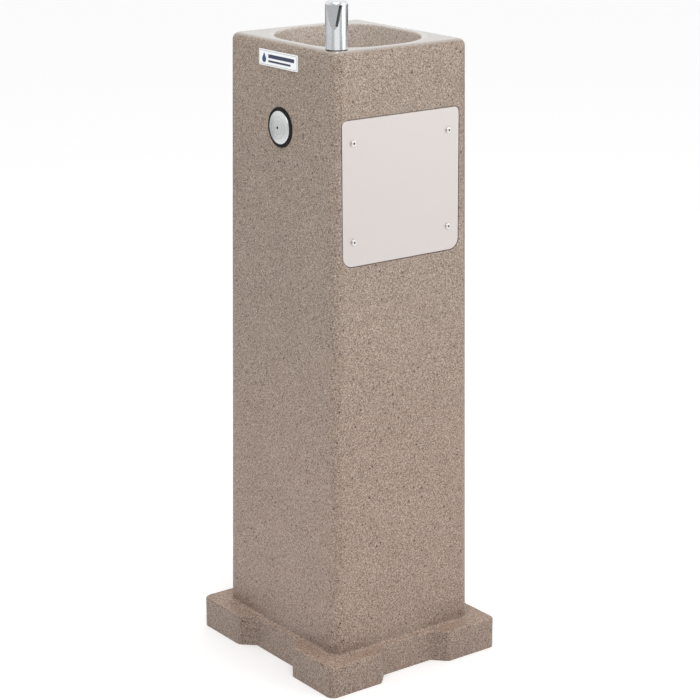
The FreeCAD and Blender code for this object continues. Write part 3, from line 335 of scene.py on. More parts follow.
def from_opening(tree, place):
    """Distance outwards from the edge of the bowl's opening, seen from above."""
    folded = add_node(tree, "ShaderNodeVectorMath", {"operation": "ABSOLUTE"}, {0: place})
    # The corner's centre stands well above the fountain, so that heights add nothing.
    above_all = 2.0
    distances = []
    for corner in BOWL_CORNERS:
        past = add_node(tree, "ShaderNodeVectorMath", {"operation": "SUBTRACT"}, {
            0: folded.outputs["Vector"],
            1: (BOWL_HALF_X - corner, BOWL_HALF_Y - corner, above_all)})
        beyond = add_node(tree, "ShaderNodeVectorMath", {"operation": "MAXIMUM"}, {
            0: past.outputs["Vector"], 1: (0, 0, 0)})
        reach = add_node(tree, "ShaderNodeVectorMath", {"operation": "LENGTH"}, {
            0: beyond.outputs["Vector"]})
        distances.append(add_node(tree, "ShaderNodeMath", {"operation": "SUBTRACT"}, {
            0: reach.outputs["Value"], 1: corner}).outputs["Value"])
    # Two opposite corners are tight and the other two wide: X times Y tells which.
    parts = add_node(tree, "ShaderNodeSeparateXYZ", inputs={"Vector": place})
    quarter = add_node(tree, "ShaderNodeMath", {"operation": "MULTIPLY"}, {
        0: parts.outputs["X"], 1: parts.outputs["Y"]})
    wide = add_node(tree, "ShaderNodeMath", {"operation": "GREATER_THAN"}, {
        0: quarter.outputs["Value"], 1: 0.0})
    return add_node(tree, "ShaderNodeMix", {"data_type": "FLOAT"}, {
        "Factor": wide.outputs["Value"], "A": distances[0], "B": distances[1]}).outputs["Result"]


def stone_speckle(tree, turned, ground, dark, pale):
    """Ground, dark and pale powders, fused into grains with soft-edged flecks among them."""
    sizes = bpy.context.scene.fountain_sizes
    grain = add_node(tree, "ShaderNodeTexNoise", inputs={
        "Vector": turned, "Scale": 1 / sizes.grain, "Detail": 2.0, "Roughness": 0.7})
    tone = add_node(tree, "ShaderNodeValToRGB", inputs={"Fac": grain.outputs["Fac"]})
    stops = tone.color_ramp.elements
    stops[0].position, stops[0].color = 0.34, (*ground.lerp(dark, 0.75), 1)
    stops[1].position, stops[1].color = 0.66, (*ground.lerp(pale, 0.75), 1)
    stops.new(0.50).color = (*ground, 1)
    color = tone.outputs["Color"]
    # Small dark flecks, pale flecks, and a few large ones that are nearly black. The shifts
    # keep one kind from falling on another.
    for spacing, radius, pigment, shift in (
            (sizes.fleck, 0.28 * sizes.fleck, dark, 0.0),
            (sizes.fleck * 1.2, 0.24 * sizes.fleck, pale, 0.37),
            (sizes.fleck * 2.6, 0.42 * sizes.fleck, dark * 0.5, 0.71)):
        mask = fleck_mask(tree, turned, spacing, radius, shift)
        color = add_node(tree, "ShaderNodeMix", {"data_type": "RGBA"}, {
            SHARE: mask, FIRST: color, SECOND: (*pigment, 1)}).outputs[MIXED]
    return color


def stone_shade(tree, place, height, color):
    """Uneven pigment over a hand's breadth, painted shade that darkens the colour towards the
    floor, and painted light that lightens it a little towards the top.
    """
    cloud = add_node(tree, "ShaderNodeTexNoise", inputs={
        "Vector": place, "Scale": per_mm(90), "Detail": 2.0, "Roughness": 0.5})
    painted_shade_top, painted_light_top = 130 * MM, 800 * MM
    shade = 1.0
    # The cloud is uneven pigment. The first height range is painted shade, darker towards the
    # floor; the second is painted light, a little lighter towards the top.
    for value, kind, start, end, at_start, at_end in (
            (cloud.outputs["Fac"], "LINEAR", 0.3, 0.7, 0.96, 1.04),
            (height, "SMOOTHERSTEP", 0.0, painted_shade_top, 0.79, 0.96),
            (height, "LINEAR", painted_shade_top, painted_light_top, 1.0, 1.03)):
        part = add_node(tree, "ShaderNodeMapRange", {"interpolation_type": kind}, {
            "Value": value, "From Min": start, "From Max": end,
            "To Min": at_start, "To Max": at_end})
        shade = add_node(tree, "ShaderNodeMath", {"operation": "MULTIPLY"}, {
            0: shade, 1: part.outputs["Result"]}).outputs["Value"]
    return add_node(tree, "ShaderNodeVectorMath", {"operation": "SCALE"}, {
        0: color, "Scale": shade}).outputs["Vector"]


def stone_dust_and_painted_light(tree, place, height, color, ground, pale):
    """Dust on the lower half; painted light on the bowl's walls and the feet's tops; a painted
    sheen on the rim's land and a painted highlight along its lip; and the land's share.
    """
    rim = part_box("pedestal_shell")[1][2]
    outwards = from_opening(tree, place)
    facing = add_node(tree, "ShaderNodeSeparateXYZ", inputs={
        "Vector": add_node(tree, "ShaderNodeNewGeometry").outputs["True Normal"]})
    # Each share is whole at the first value and beyond it, and gone at the second.
    lower_half, above_bowl_floor, bowl_wall, feet, lip, level, top = [
        add_node(tree, "ShaderNodeMapRange", {"interpolation_type": "SMOOTHSTEP"}, {
            "Value": value, "From Min": whole, "From Max": gone, "To Min": 1.0, "To Max": 0.0,
        }).outputs["Result"]
        for value, whole, gone in (
            (height, 200 * MM, 700 * MM),
            (height, rim - 80 * MM, rim - 90 * MM),
            (outwards, 0.5 * MM, 4 * MM),
            (height, 100 * MM, 140 * MM),
            (outwards, 5 * MM, 10 * MM),
            (facing.outputs["Z"], 0.95, 0.55),
            (height, rim - 1 * MM, rim - 6 * MM))]
    # Shares of painted light on the bowl's walls and on the feet's tops, and the land's share.
    bowl_painted_light, foot_top_painted_light, land = [
        add_node(tree, "ShaderNodeMath", {"operation": "MULTIPLY"}, {
            0: one, 1: other}).outputs["Value"]
        for one, other in ((bowl_wall, above_bowl_floor), (level, feet), (level, top))]
    # Shares of the painted light on the bowl, and of the painted sheen and highlight on the land
    # and lip.
    bowl_painted_light_veil, land_painted_sheen, lip_painted_highlight = [
        add_node(tree, "ShaderNodeMath", {"operation": "MULTIPLY"}, {
            0: one, 1: other}).outputs["Value"]
        for one, other in ((bowl_painted_light, 0.35), (land, 0.6), (land, lip))]
    for share, blend, layer in (
            # Ground dust browns the lower half a little.
            (lower_half, "MULTIPLY", (1.06, 0.995, 0.985)),
            # Limescale veils the speckle on the bowl's walls and pales them.
            # Painted light: the bowl's walls are evened towards the ground colour and made about
            # twice as bright, for light that reaches into the bowl.
            (bowl_painted_light_veil, "MIX", ground),
            (bowl_painted_light, "MULTIPLY", (1.75, 2.0, 2.25)),
            # Painted light: the level tops of the feet are made 1.42 times as bright, as light from
            # above would make them.
            (foot_top_painted_light, "MULTIPLY", (1.42, 1.42, 1.42)),
            # Painted sheen: the land round the bowl is mixed towards a paler ground, which hides
            # some of the speckle, and turned a little bluer, for its shine at a low angle.
            (land_painted_sheen, "MIX", ground.lerp(pale, 0.45)),
            (land, "MULTIPLY", (1.0, 1.04, 1.09)),
            # Painted highlight: the land next to the lip is made about a third brighter, for the
            # bright line along the lip.
            (lip_painted_highlight, "MULTIPLY", (1.25, 1.32, 1.40))):
        color = add_node(tree, "ShaderNodeMix", {"data_type": "RGBA", "blend_type": blend}, {
            SHARE: share, FIRST: color, SECOND: (*layer, 1)}).outputs[MIXED]
    return color, land


def stone_moulding():
    """Rotomoulded polyethylene with a stone-grain pigment: a small soft-edged speckle under a
    skin that is dull face on and shines at a low angle, most of all on the rim's level land."""
    colours = bpy.context.scene.fountain_finish
    ground, dark, pale = [
        Vector(c) for c in (colours.stone, colours.stone_dark, colours.stone_light)]
    material, tree, shader = new_finish("speckled_rotomoulded_polyethylene")
    place = add_node(tree, "ShaderNodeTexCoord").outputs["Object"]
    height = add_node(tree, "ShaderNodeSeparateXYZ", inputs={"Vector": place}).outputs["Z"]
    # Turned, so that no row of the pattern lines up with a face.
    turned = add_node(tree, "ShaderNodeMapping", inputs={
        "Vector": place, "Rotation": (0.61, 0.43, 0.87)}).outputs["Vector"]
    color = stone_speckle(tree, turned, ground, dark, pale)
    # Painted shade and painted light by height; then dust, and painted light, sheen and highlight
    # on the bowl's walls, the feet's tops, the land and the lip.
    color = stone_shade(tree, place, height, color)
    color, land = stone_dust_and_painted_light(tree, place, height, color, ground, pale)
    wire(tree, color, shader, "Base Color")
    wire(tree, land, shader, "Coat Weight")
    shader.inputs["Coat Roughness"].default_value = 0.10
    shader.inputs["Coat IOR"].default_value = 1.65
    # The skin copies the mould's fine blasted grain, 2 mm across.
    skin = add_node(tree, "ShaderNodeTexNoise", inputs={
        "Vector": turned, "Scale": per_mm(2.0), "Detail": 2.0, "Roughness": 0.6})
    bump = add_node(tree, "ShaderNodeBump", inputs={
        "Height": skin.outputs["Fac"], "Strength": 0.5, "Distance": 0.35 * MM})
    wire(tree, bump.outputs["Normal"], shader, "Normal")
    gloss = add_node(tree, "ShaderNodeMapRange", inputs={
        "Value": skin.outputs["Fac"], "To Min": 0.36, "To Max": 0.56})
    wire(tree, gloss.outputs["Result"], shader, "Roughness")
    shader.inputs["IOR"].default_value = 1.51
    return material


def metal(name, hex_code, rough, worn, wear_size=30.0, wear_change=0.06):
    """A metal with slow changes of gloss from handling and tarnish, this many mm across."""
    material, tree, shader = new_finish(name)
    place = add_node(tree, "ShaderNodeTexCoord").outputs["Object"]
    wear = add_node(tree, "ShaderNodeTexNoise", inputs={
        "Vector": place, "Scale": per_mm(wear_size), "Detail": 4.0, "Roughness": 0.6})
    tint = add_node(tree, "ShaderNodeMix", {"data_type": "RGBA"}, {
        SHARE: wear.outputs["Fac"], FIRST: linear(hex_code), SECOND: linear(worn)})
    gloss = add_node(tree, "ShaderNodeMapRange", inputs={
        "Value": wear.outputs["Fac"], "From Min": 0.3, "From Max": 0.7,
        "To Min": max(0.02, rough - wear_change), "To Max": rough + wear_change})
    wire(tree, tint.outputs[MIXED], shader, "Base Color")
    wire(tree, gloss.outputs["Result"], shader, "Roughness")
    shader.inputs["Metallic"].default_value = 1.0
    return material


def brushed_stainless():
    """Stainless sheet with a fine linished grain: matt and pale, with faint lines across it.
    The real lines are 0.1 mm apart; they are drawn 0.8 mm apart so that they show."""
    colour = bpy.context.scene.fountain_finish.plate
    material, tree, shader = new_finish("linished_stainless_sheet")
    place = add_node(tree, "ShaderNodeTexCoord").outputs["Object"]
    sheet_depth, line_length, line_spacing = 5, 70, 0.8
    stretch = add_node(tree, "ShaderNodeMapping", inputs={
        "Vector": place,
        "Scale": (per_mm(sheet_depth), per_mm(line_length), per_mm(line_spacing))})
    lines = add_node(tree, "ShaderNodeTexNoise", inputs={
        "Vector": stretch.outputs["Vector"], "Scale": 1.0, "Detail": 3.0, "Roughness": 0.6})
    tint = add_node(tree, "ShaderNodeMix", {"data_type": "RGBA"}, {
        SHARE: lines.outputs["Fac"], FIRST: (*[c * 0.97 for c in colour], 1),
        SECOND: (*[min(1, c * 1.03) for c in colour], 1)})
    gloss = add_node(tree, "ShaderNodeMapRange", inputs={
        "Value": lines.outputs["Fac"], "To Min": 0.42, "To Max": 0.60})
    bump = add_node(tree, "ShaderNodeBump", inputs={
        "Height": lines.outputs["Fac"], "Strength": 0.12, "Distance": 0.05 * MM})
    wire(tree, tint.outputs[MIXED], shader, "Base Color")
    wire(tree, gloss.outputs["Result"], shader, "Roughness")
    wire(tree, bump.outputs["Normal"], shader, "Normal")
    # Not all bare metal: handling leaves a thin film that dulls it.
    shader.inputs["Metallic"].default_value = 0.85
    return material


def turned_stainless():
    """Pressed and faced stainless: satin, with fine rings left by the lathe. The real rings
    are about 0.2 mm apart; they are drawn 0.9 mm apart so that they show."""
    material = metal("faced_stainless", "EBECEB", 0.34, "E1E2E1", 18.0, 0.05)
    tree = material.node_tree
    low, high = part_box("push_button")
    centre = (Vector(low) + Vector(high)) / 2
    ring_spacing = 0.9
    place = add_node(tree, "ShaderNodeTexCoord").outputs["Object"]
    offset = add_node(tree, "ShaderNodeVectorMath", {"operation": "SUBTRACT"}, {
        0: place, 1: centre})
    flat = add_node(tree, "ShaderNodeVectorMath", {"operation": "MULTIPLY"}, {
        0: offset.outputs["Vector"], 1: (1.0, 0.0, 1.0)})
    reach = add_node(tree, "ShaderNodeVectorMath", {"operation": "LENGTH"}, {
        0: flat.outputs["Vector"]})
    phase = add_node(tree, "ShaderNodeMath", {"operation": "MULTIPLY"}, {
        0: reach.outputs["Value"], 1: 2 * math.pi * per_mm(ring_spacing)})
    rings = add_node(tree, "ShaderNodeMath", {"operation": "SINE"}, {0: phase.outputs["Value"]})
    bump = add_node(tree, "ShaderNodeBump", inputs={
        "Height": rings.outputs["Value"], "Strength": 0.10, "Distance": 0.03 * MM})
    wire(tree, bump.outputs["Normal"], tree.nodes["Principled BSDF"], "Normal")
    return material


def plastic(name, colour, rough, grain, depth, ior=1.5, shine=0.5):
    """A moulded plastic, rubber or lacquer. Its skin grain is this many mm wide and deep."""
    material, tree, shader = new_finish(name)
    place = add_node(tree, "ShaderNodeTexCoord").outputs["Object"]
    skin = add_node(tree, "ShaderNodeTexNoise", inputs={
        "Vector": place, "Scale": per_mm(grain), "Detail": 3.0, "Roughness": 0.55})
    uneven = 0.08
    tint = add_node(tree, "ShaderNodeMix", {"data_type": "RGBA"}, {
        SHARE: skin.outputs["Fac"],
        FIRST: (*[c * (1 - uneven) for c in colour[:3]], 1),
        SECOND: (*[min(1, c * (1 + uneven)) for c in colour[:3]], 1)})
    gloss = add_node(tree, "ShaderNodeMapRange", inputs={
        "Value": skin.outputs["Fac"], "To Min": rough - uneven, "To Max": rough + uneven})
    bump = add_node(tree, "ShaderNodeBump", inputs={
        "Height": skin.outputs["Fac"], "Strength": 0.3, "Distance": depth * MM})
    wire(tree, tint.outputs[MIXED], shader, "Base Color")
    wire(tree, gloss.outputs["Result"], shader, "Roughness")
    wire(tree, bump.outputs["Normal"], shader, "Normal")
    shader.inputs["IOR"].default_value = ior
    shader.inputs["Specular IOR Level"].default_value = shine
    return material


# ---- operators

class FOUNTAIN_OT_pedestal(bpy.types.Operator):
    """Finishes the speckled stone-look moulding"""
    bl_idname = "fountain.pedestal"
    bl_label = "Pedestal moulding"

    def execute(self, context):
        finish_nodes(stone_moulding(), "pedestal_shell")
        return {"FINISHED"}


class FOUNTAIN_OT_metals(bpy.types.Operator):
    """Finishes the steel, chrome, brass and copper pieces"""
    bl_idname = "fountain.metals"
    bl_label = "Metal pieces"

    def execute(self, context):
        finish_nodes(brushed_stainless(), "access_panel")
        finish_nodes(turned_stainless(), "push_button")
        # Stainless straight from the tool: clean, with a soft satin shine.
        satin = metal("satin_stainless", "DCDAD8", 0.30, "CBC9C7", 12.0, 0.06)
        finish_nodes(satin, "panel_screws", "button_stem", "drain_grate", "grate_screw")
        # Decorative chrome over nickel: bright, very slightly blue, softened by water film.
        chrome = metal("bright_chrome_plate", "EEF0F2", 0.20, "E6E9EB", 25.0, 0.03)
        finish_nodes(chrome, "bubbler_head", "drain_body", "stop_valve_body", "stop_valve_ball")
        # Turned brass gone a little brown in the damp.
        brass = metal("turned_brass", "C9A45C", 0.30, "9C7B42", 14.0, 0.10)
        finish_nodes(brass, "panel_inserts", "valve_body", "regulator_screw", "bubbler_shank",
                     "bubbler_locknut", "bubbler_tube_nut", "outlet_nut", "inlet_nut",
                     "strainer_nut", "inline_strainer", "stop_valve_stem", "packing_nut",
                     "supply_nut", "supply_adapter", "drain_locknut")
        # Drawn copper with a thin brown oxide.
        copper = metal("drawn_copper", "BF7A55", 0.32, "8C5A40", 22.0, 0.10)
        finish_nodes(copper, "outlet_tube", "inlet_tube", "link_pipe", "supply_pipe")
        # Bright zinc plate, cloudy where it has dulled.
        zinc = metal("zinc_plated_steel", "B9BAB6", 0.38, "9FA19E", 9.0, 0.10)
        finish_nodes(zinc, "stop_valve_lever", "lever_nut", "sleeve_clamps")
        return {"FINISHED"}


class FOUNTAIN_OT_plastics(bpy.types.Operator):
    """Finishes the nylon, rubber, vinyl, waste-pipe and name plate pieces"""
    bl_idname = "fountain.plastics"
    bl_label = "Plastic and rubber pieces"

    def execute(self, context):
        # Moulded glass-filled nylon: black, nearly dull.
        nylon = plastic("moulded_black_nylon", linear("141110"), 0.48, 0.8, 0.05, 1.53, 0.16)
        finish_nodes(nylon, "button_bezel", "bezel_locknut", "valve_seat")
        # Moulded nitrile rubber: dull, and a little greyer with its bloom.
        rubber = plastic("black_nitrile_rubber", linear("1E1D1C"), 0.62, 1.2, 0.06, 1.52)
        finish_nodes(rubber, "panel_gasket", "valve_poppet", "bubbler_gasket", "bubbler_washer",
                     "drain_gasket", "waste_sleeve")
        # Extruded PVC: warm white with a smooth, slightly wavy shine.
        pipe = plastic("extruded_white_pvc", linear("DEDCD4"), 0.34, 6.0, 0.05, 1.54)
        finish_nodes(pipe, "tailpiece", "tailpiece_nut", "trap_bend", "trap_inlet_nut",
                     "crown_bend", "trap_outlet_nut", "waste_pipe", "waste_adapter")
        # Vinyl dipped over the lever: thick, glossy and softly uneven.
        grip = plastic("dipped_red_vinyl", linear("A3211C"), 0.36, 2.0, 0.08, 1.53)
        finish_nodes(grip, "lever_grip")
        # Lacquer sprayed on a flat plate: clean white with an even shine.
        lacquer = plastic("white_lacquered_plate", linear("F1F2F4"), 0.25, 4.0, 0.01)
        finish_nodes(lacquer, "nameplate")
        # Screened enamel: a solid blue that stands on the lacquer.
        emblem = context.scene.fountain_finish.emblem
        finish_nodes(plastic("printed_enamel", emblem, 0.30, 1.0, 0.01), "nameplate_drop")
        return {"FINISHED"}


class FOUNTAIN_OT_nameplate_print(bpy.types.Operator):
    """Adds two plain bars and a thin border to the name plate"""
    bl_idname = "fountain.nameplate_print"
    bl_label = "Name plate print"

    def execute(self, context):
        low, high = [Vector(corner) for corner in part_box("nameplate")]
        outward = front_outward()
        slope = -outward.z / outward.y
        middle = Vector(((low.x + high.x) / 2, 0, (low.z + high.z) / 2))
        middle.y = low.y + (middle.z - low.z) * slope
        place = slope_frame(middle, outward)
        half_x, half_y = (high.x - low.x) / 2, (high.z - low.z) / 2
        depth = context.scene.fountain_sizes.print_depth
        self.make_bars(place, half_x, half_y, depth)
        self.make_border(place, half_x, half_y, 0.7 * depth)
        return {"FINISHED"}

    def make_bars(self, place, half_x, half_y, depth):
        """Two bars beside the drop, placed by shares of the plate's half width and height."""
        mesh = bmesh.new()
        start, corner = -0.50 * half_x, 0.09 * half_y
        for height, tall, end in ((0.24, 0.23, 0.84), (-0.38, 0.12, 0.66)):
            end *= half_x
            corners = round_corners((end - start) / 2, tall * half_y, corner,
                                    (start + end) / 2, height * half_y)
            plate_on(mesh, place, corners, -SUNK, depth)
        tidy(mesh, False)
        # Screened ink: flat and even, with a faint sheen.
        ink = plastic("printed_navy_ink", linear("2C3550"), 0.35, 1.5, 0.01)
        new_piece("nameplate_bars", mesh, ink, "pedestal")

    def make_border(self, place, half_x, half_y, depth):
        """A thin line just inside the plate's edge."""
        mesh = bmesh.new()
        edge, width, corner = 1.6 * MM, 0.5 * MM, 1.4 * MM
        outer = round_corners(half_x - edge, half_y - edge, corner)
        inner = round_corners(half_x - edge - width, half_y - edge - width, corner - width)
        frame_loop(mesh, place, outer, inner, -SUNK, depth)
        tidy(mesh, False)
        # The same ink, let down with white.
        grey = plastic("printed_grey_ink", linear("8E949C"), 0.35, 1.5, 0.01)
        new_piece("nameplate_border", mesh, grey, "pedestal")


class FOUNTAIN_OT_button_ring(bpy.types.Operator):
    """Adds the raised rings turned on the push button, and a near-black plug in its centre hole as
    painted shade
    """
    bl_idname = "fountain.button_ring"
    bl_label = "Push button rings"

    def execute(self, context):
        low, high = [Vector(corner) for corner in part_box("push_button")]
        centre = (low + high) / 2
        centre.y = low.y
        place = slope_frame(centre, front_outward())
        self.make_centre_painted_shade(place)
        # The button's face is a shallow dome inside a narrow flat edge.
        dome, edge = 2.5 * MM, 1.0 * MM
        dome_radius = (high.x - low.x) / 2 - edge
        ball = (dome_radius ** 2 + dome ** 2) / (2 * dome)
        outer = context.scene.fountain_sizes.ring_radius
        between, half_width, rise = 5.5 * MM, 0.30 * MM, 0.07 * MM
        mesh = bmesh.new()
        for reach in (outer, outer - between):
            height = math.sqrt(ball ** 2 - reach ** 2) - ball
            lathe(mesh, place, [
                (reach - half_width, height - rise), (reach + half_width, height - rise),
                (reach + half_width / 2, height + rise), (reach - half_width / 2, height + rise)])
        tidy(mesh)
        # Etched stainless: greyer and duller than the faced metal round it.
        dull = metal("etched_stainless", "C2C2C0", 0.45, "B4B4B2", 8.0, 0.05)
        new_piece("button_rings", mesh, dull, "button")
        return {"FINISHED"}

    def make_centre_painted_shade(self, place):
        """Near-black plug in the button's centre hole, its top a little dished: painted shade that
        makes the hole read dark.
        """
        radius, foot, shoulder = 1.97 * MM, -1.9 * MM, -0.25 * MM
        lip, lip_top, dish = 0.2 * MM, -0.15 * MM, -0.35 * MM
        mesh = bmesh.new()
        lathe(mesh, place, [
            (ON_AXIS, foot), (radius, foot), (radius, shoulder),
            (radius - lip, lip_top), (ON_AXIS, dish)], 32)
        tidy(mesh)
        # Painted shade: near-black and hardly shining, so that the centre hole reads dark.
        black = plastic("centre_hole_painted_shade", linear("100F0F"), 0.6, 0.6, 0.02, 1.5, 0.1)
        new_piece("button_centre_painted_shade", mesh, black, "button")


class FOUNTAIN_OT_return_spring(bpy.types.Operator):
    """Winds the button's return spring"""
    bl_idname = "fountain.return_spring"
    bl_label = "Return spring"

    def execute(self, context):
        low, high = [Vector(corner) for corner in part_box("return_spring")]
        outward = front_outward()
        wire_radius, turns, travel = 0.5 * MM, 4, 4.0 * MM
        coil_radius = (high.x - low.x) / 2 - wire_radius
        # Length between the wire's ends: the box is also as deep as the coil's tilt.
        length = high.y - low.y - 2 * (wire_radius + coil_radius * abs(outward.z))
        place = slope_frame((low + high) / 2, outward)
        steps, sides = 40, 8
        rings = []
        mesh = bmesh.new()
        for step in range(turns * steps + 1):
            angle = 2 * math.pi * step / steps
            rise = length * (step / (turns * steps) - 0.5)
            ring = []
            for side in range(sides):
                round_wire = 2 * math.pi * side / sides
                reach = coil_radius + wire_radius * math.cos(round_wire)
                ring.append(mesh.verts.new(place @ Vector((
                    reach * math.cos(angle), reach * math.sin(angle),
                    rise + wire_radius * math.sin(round_wire)))))
            rings.append(ring)
        join_rings(mesh, rings)
        tidy(mesh)
        # Hard drawn spring wire, greyer and smoother than zinc plate.
        wire_steel = metal("drawn_spring_wire", "A9ABAC", 0.26, "8E9092", 4.0, 0.05)
        coil = new_piece("return_spring_coil", mesh, wire_steel, "pedestal")
        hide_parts("return_spring")
        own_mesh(coil)
        return {"FINISHED"}


class FOUNTAIN_OT_nozzle_slot_painted_shade(bpy.types.Operator):
    """Adds a dark piece in the slot that the water leaves by: painted shade, standing for the
    slot's shadow
    """
    bl_idname = "fountain.nozzle_throat"
    bl_label = "Nozzle slot painted shade"

    def execute(self, context):
        seat_low, seat_high = [Vector(corner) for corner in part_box("bubbler_gasket")]
        centre = (seat_low + seat_high) / 2
        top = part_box("bubbler_head")[1][2]
        # The slot's frame: it faces the bowl, to one side of the head, and leans a little.
        hood_height, aside = 5.0 * MM, 8.0 * MM
        lean, turn = math.radians(-9), math.radians(-50)
        place = (Matrix.Translation((centre.x, centre.y, top - hood_height))
                 @ Matrix.Rotation(turn, 4, "Z")
                 @ Matrix.Translation((0, aside, 0)) @ Matrix.Rotation(lean, 4, "X"))
        # The scoop's face starts this far from the axis and flares out towards its foot. The
        # painted-shade piece fills the slot from behind up to a recess below that face.
        reach, flare, recess = 10.4 * MM, 5.0 / 33.0, 1.3 * MM
        half_width, length, back, clear = 1.74 * MM, 28.3 * MM, 4.5 * MM, 0.1 * MM
        side = [(back, -clear), (reach - recess, -clear),
                (reach + flare * length - recess, -length), (back, -length)]
        mesh = bmesh.new()
        join_rings(mesh, [[mesh.verts.new(place @ Vector((x, y, z))) for x, z in side]
                          for y in (-half_width, half_width)])
        tidy(mesh, False)
        # Painted shade: a grey without shine that darkens the slot as its shadow does.
        dark = plastic("painted_shade_in_the_slot", linear("444648"), 0.7, 1.2, 0.05, 1.5, 0.1)
        new_piece("nozzle_slot_painted_shade", mesh, dark, "pedestal")
        return {"FINISHED"}


class FOUNTAIN_OT_screw_pins(bpy.types.Operator):
    """Adds the socket floor and tamper pin in each access panel screw, both nearly black as painted
    shade of the socket
    """
    bl_idname = "fountain.screw_pins"
    bl_label = "Tamper pins"

    def execute(self, context):
        low, high = [Vector(corner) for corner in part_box("panel_screws")]
        plate_low, plate_high = [Vector(corner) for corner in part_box("access_panel")]
        front = front_outward()
        # The panel's face leans as the front does, a quarter turn round.
        outward = Vector((-front.y, 0, front.z))
        slope = outward.z / outward.x
        head_radius = 4.6 * MM
        socket, socket_floor, floor_top = 1.45 * MM, 0.75 * MM, 1.0 * MM
        pin_foot, pin_end, pin_edge, pin_top = 0.55 * MM, 0.5 * MM, 1.75 * MM, 1.85 * MM
        profile = [(ON_AXIS, socket_floor), (socket, socket_floor), (socket, floor_top),
                   (pin_foot, floor_top), (pin_end, pin_edge), (ON_AXIS, pin_top)]
        mesh = bmesh.new()
        for y in (low.y + head_radius, high.y - head_radius):
            for z in (low.z + head_radius, high.z - head_radius):
                face = plate_high.x - (z - plate_low.z) * slope
                lathe(mesh, slope_frame(Vector((face, y, z)), outward), profile, 16)
        tidy(mesh)
        # Steel pin and socket floor, nearly black as painted shade of the deep socket; half dull.
        steel = metal("steel_pin_in_painted_shade", "2E2C2B", 0.5, "242322", 5.0, 0.05)
        new_piece("screw_pins", mesh, steel, "pedestal")
        return {"FINISHED"}


class FOUNTAIN_OT_threads(bpy.types.Operator):
    """Adds rolled threads to the supply adapter and the bubbler shank"""
    bl_idname = "fountain.threads"
    bl_label = "Threads"

    def execute(self, context):
        adapter_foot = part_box("supply_adapter")[0][2]
        nut_above, nut_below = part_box("bubbler_locknut")[0][2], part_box("bubbler_tube_nut")[1][2]
        mesh = bmesh.new()
        for node, radius, start, end, pitch, depth in (
                ("supply_adapter", 10.4 * MM, adapter_foot + 1 * MM, adapter_foot + 21 * MM,
                 1.8 * MM, 0.45 * MM),
                ("bubbler_shank", 8.0 * MM, nut_below + 1.2 * MM, nut_above - 0.5 * MM,
                 1.5 * MM, 0.35 * MM)):
            low, high = [Vector(corner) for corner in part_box(node)]
            centre = Vector(((low.x + high.x) / 2, (low.y + high.y) / 2, 0))
            helix_ridge(mesh, centre, radius, start, end, pitch, depth)
        tidy(mesh)
        # Fresh-cut brass: yellower and shinier than the turned faces.
        brass = metal("thread_cut_brass", "C9A45C", 0.26, "A5864A", 10.0, 0.06)
        new_piece("brass_threads", mesh, brass, "pedestal")
        return {"FINISHED"}


class FOUNTAIN_OT_clamp_screws(bpy.types.Operator):
    """Adds the worm screw and housing of each sleeve clamp"""
    bl_idname = "fountain.clamp_screws"
    bl_label = "Clamp screws"

    def execute(self, context):
        low, high = [Vector(corner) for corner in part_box("sleeve_clamps")]
        middle = (low + high) / 2
        band_width, sink = 8.0 * MM, 0.3 * MM
        housing = round_corners(7.0 * MM, 4.6 * MM, 1.5 * MM)
        housing_height, screw_height = 4.5 * MM, 2.6 * MM
        head, shank = 3.2 * MM, 2.0 * MM
        head_end, head_back, neck, shank_end = -11 * MM, -8 * MM, -7.5 * MM, 9 * MM
        profile = [(ON_AXIS, head_end), (head, head_end), (head, head_back), (shank, neck),
                   (shank, shank_end), (ON_AXIS, shank_end)]
        lying = Matrix.Rotation(math.pi / 2, 4, "Y")
        mesh = bmesh.new()
        for z in (low.z + band_width / 2, high.z - band_width / 2):
            place = slope_frame(Vector((high.x - sink, middle.y, z)), Vector((1, 0, 0)))
            plate_on(mesh, place, housing, 0.0, housing_height)
            lathe(mesh, place @ Matrix.Translation((0, 0, screw_height)) @ lying, profile, 24)
        tidy(mesh, False)
        # Newer zinc plate than the lever's, so a little brighter.
        zinc = metal("zinc_plated_clamp", "BFC0BC", 0.34, "A3A5A2", 6.0, 0.08)
        new_piece("clamp_screws", mesh, zinc, "pedestal")
        return {"FINISHED"}


def softbox(name, place, aim, width, height, power, colour="FFFFFF"):
    """A rectangular studio light pointed at a spot."""
    light = bpy.data.lights.new(name, "AREA")
    light.shape = "RECTANGLE"
    light.size, light.size_y = width, height
    light.energy = power
    light.color = linear(colour)[:3]
    lamp = bpy.data.objects.new(name, light)
    lamp.location = place
    lamp.rotation_euler = (Vector(aim) - Vector(place)).to_track_quat("-Z", "Y").to_euler()
    bpy.context.scene.collection.objects.link(lamp)


def round_the_studio(turn, distance, height):
    """A place at this turn from the camera's side, seen from above, anticlockwise."""
    azimuth = bpy.context.scene.fountain_view.azimuth + math.radians(turn)
    return Vector((math.sin(azimuth) * distance, -math.cos(azimuth) * distance, height))


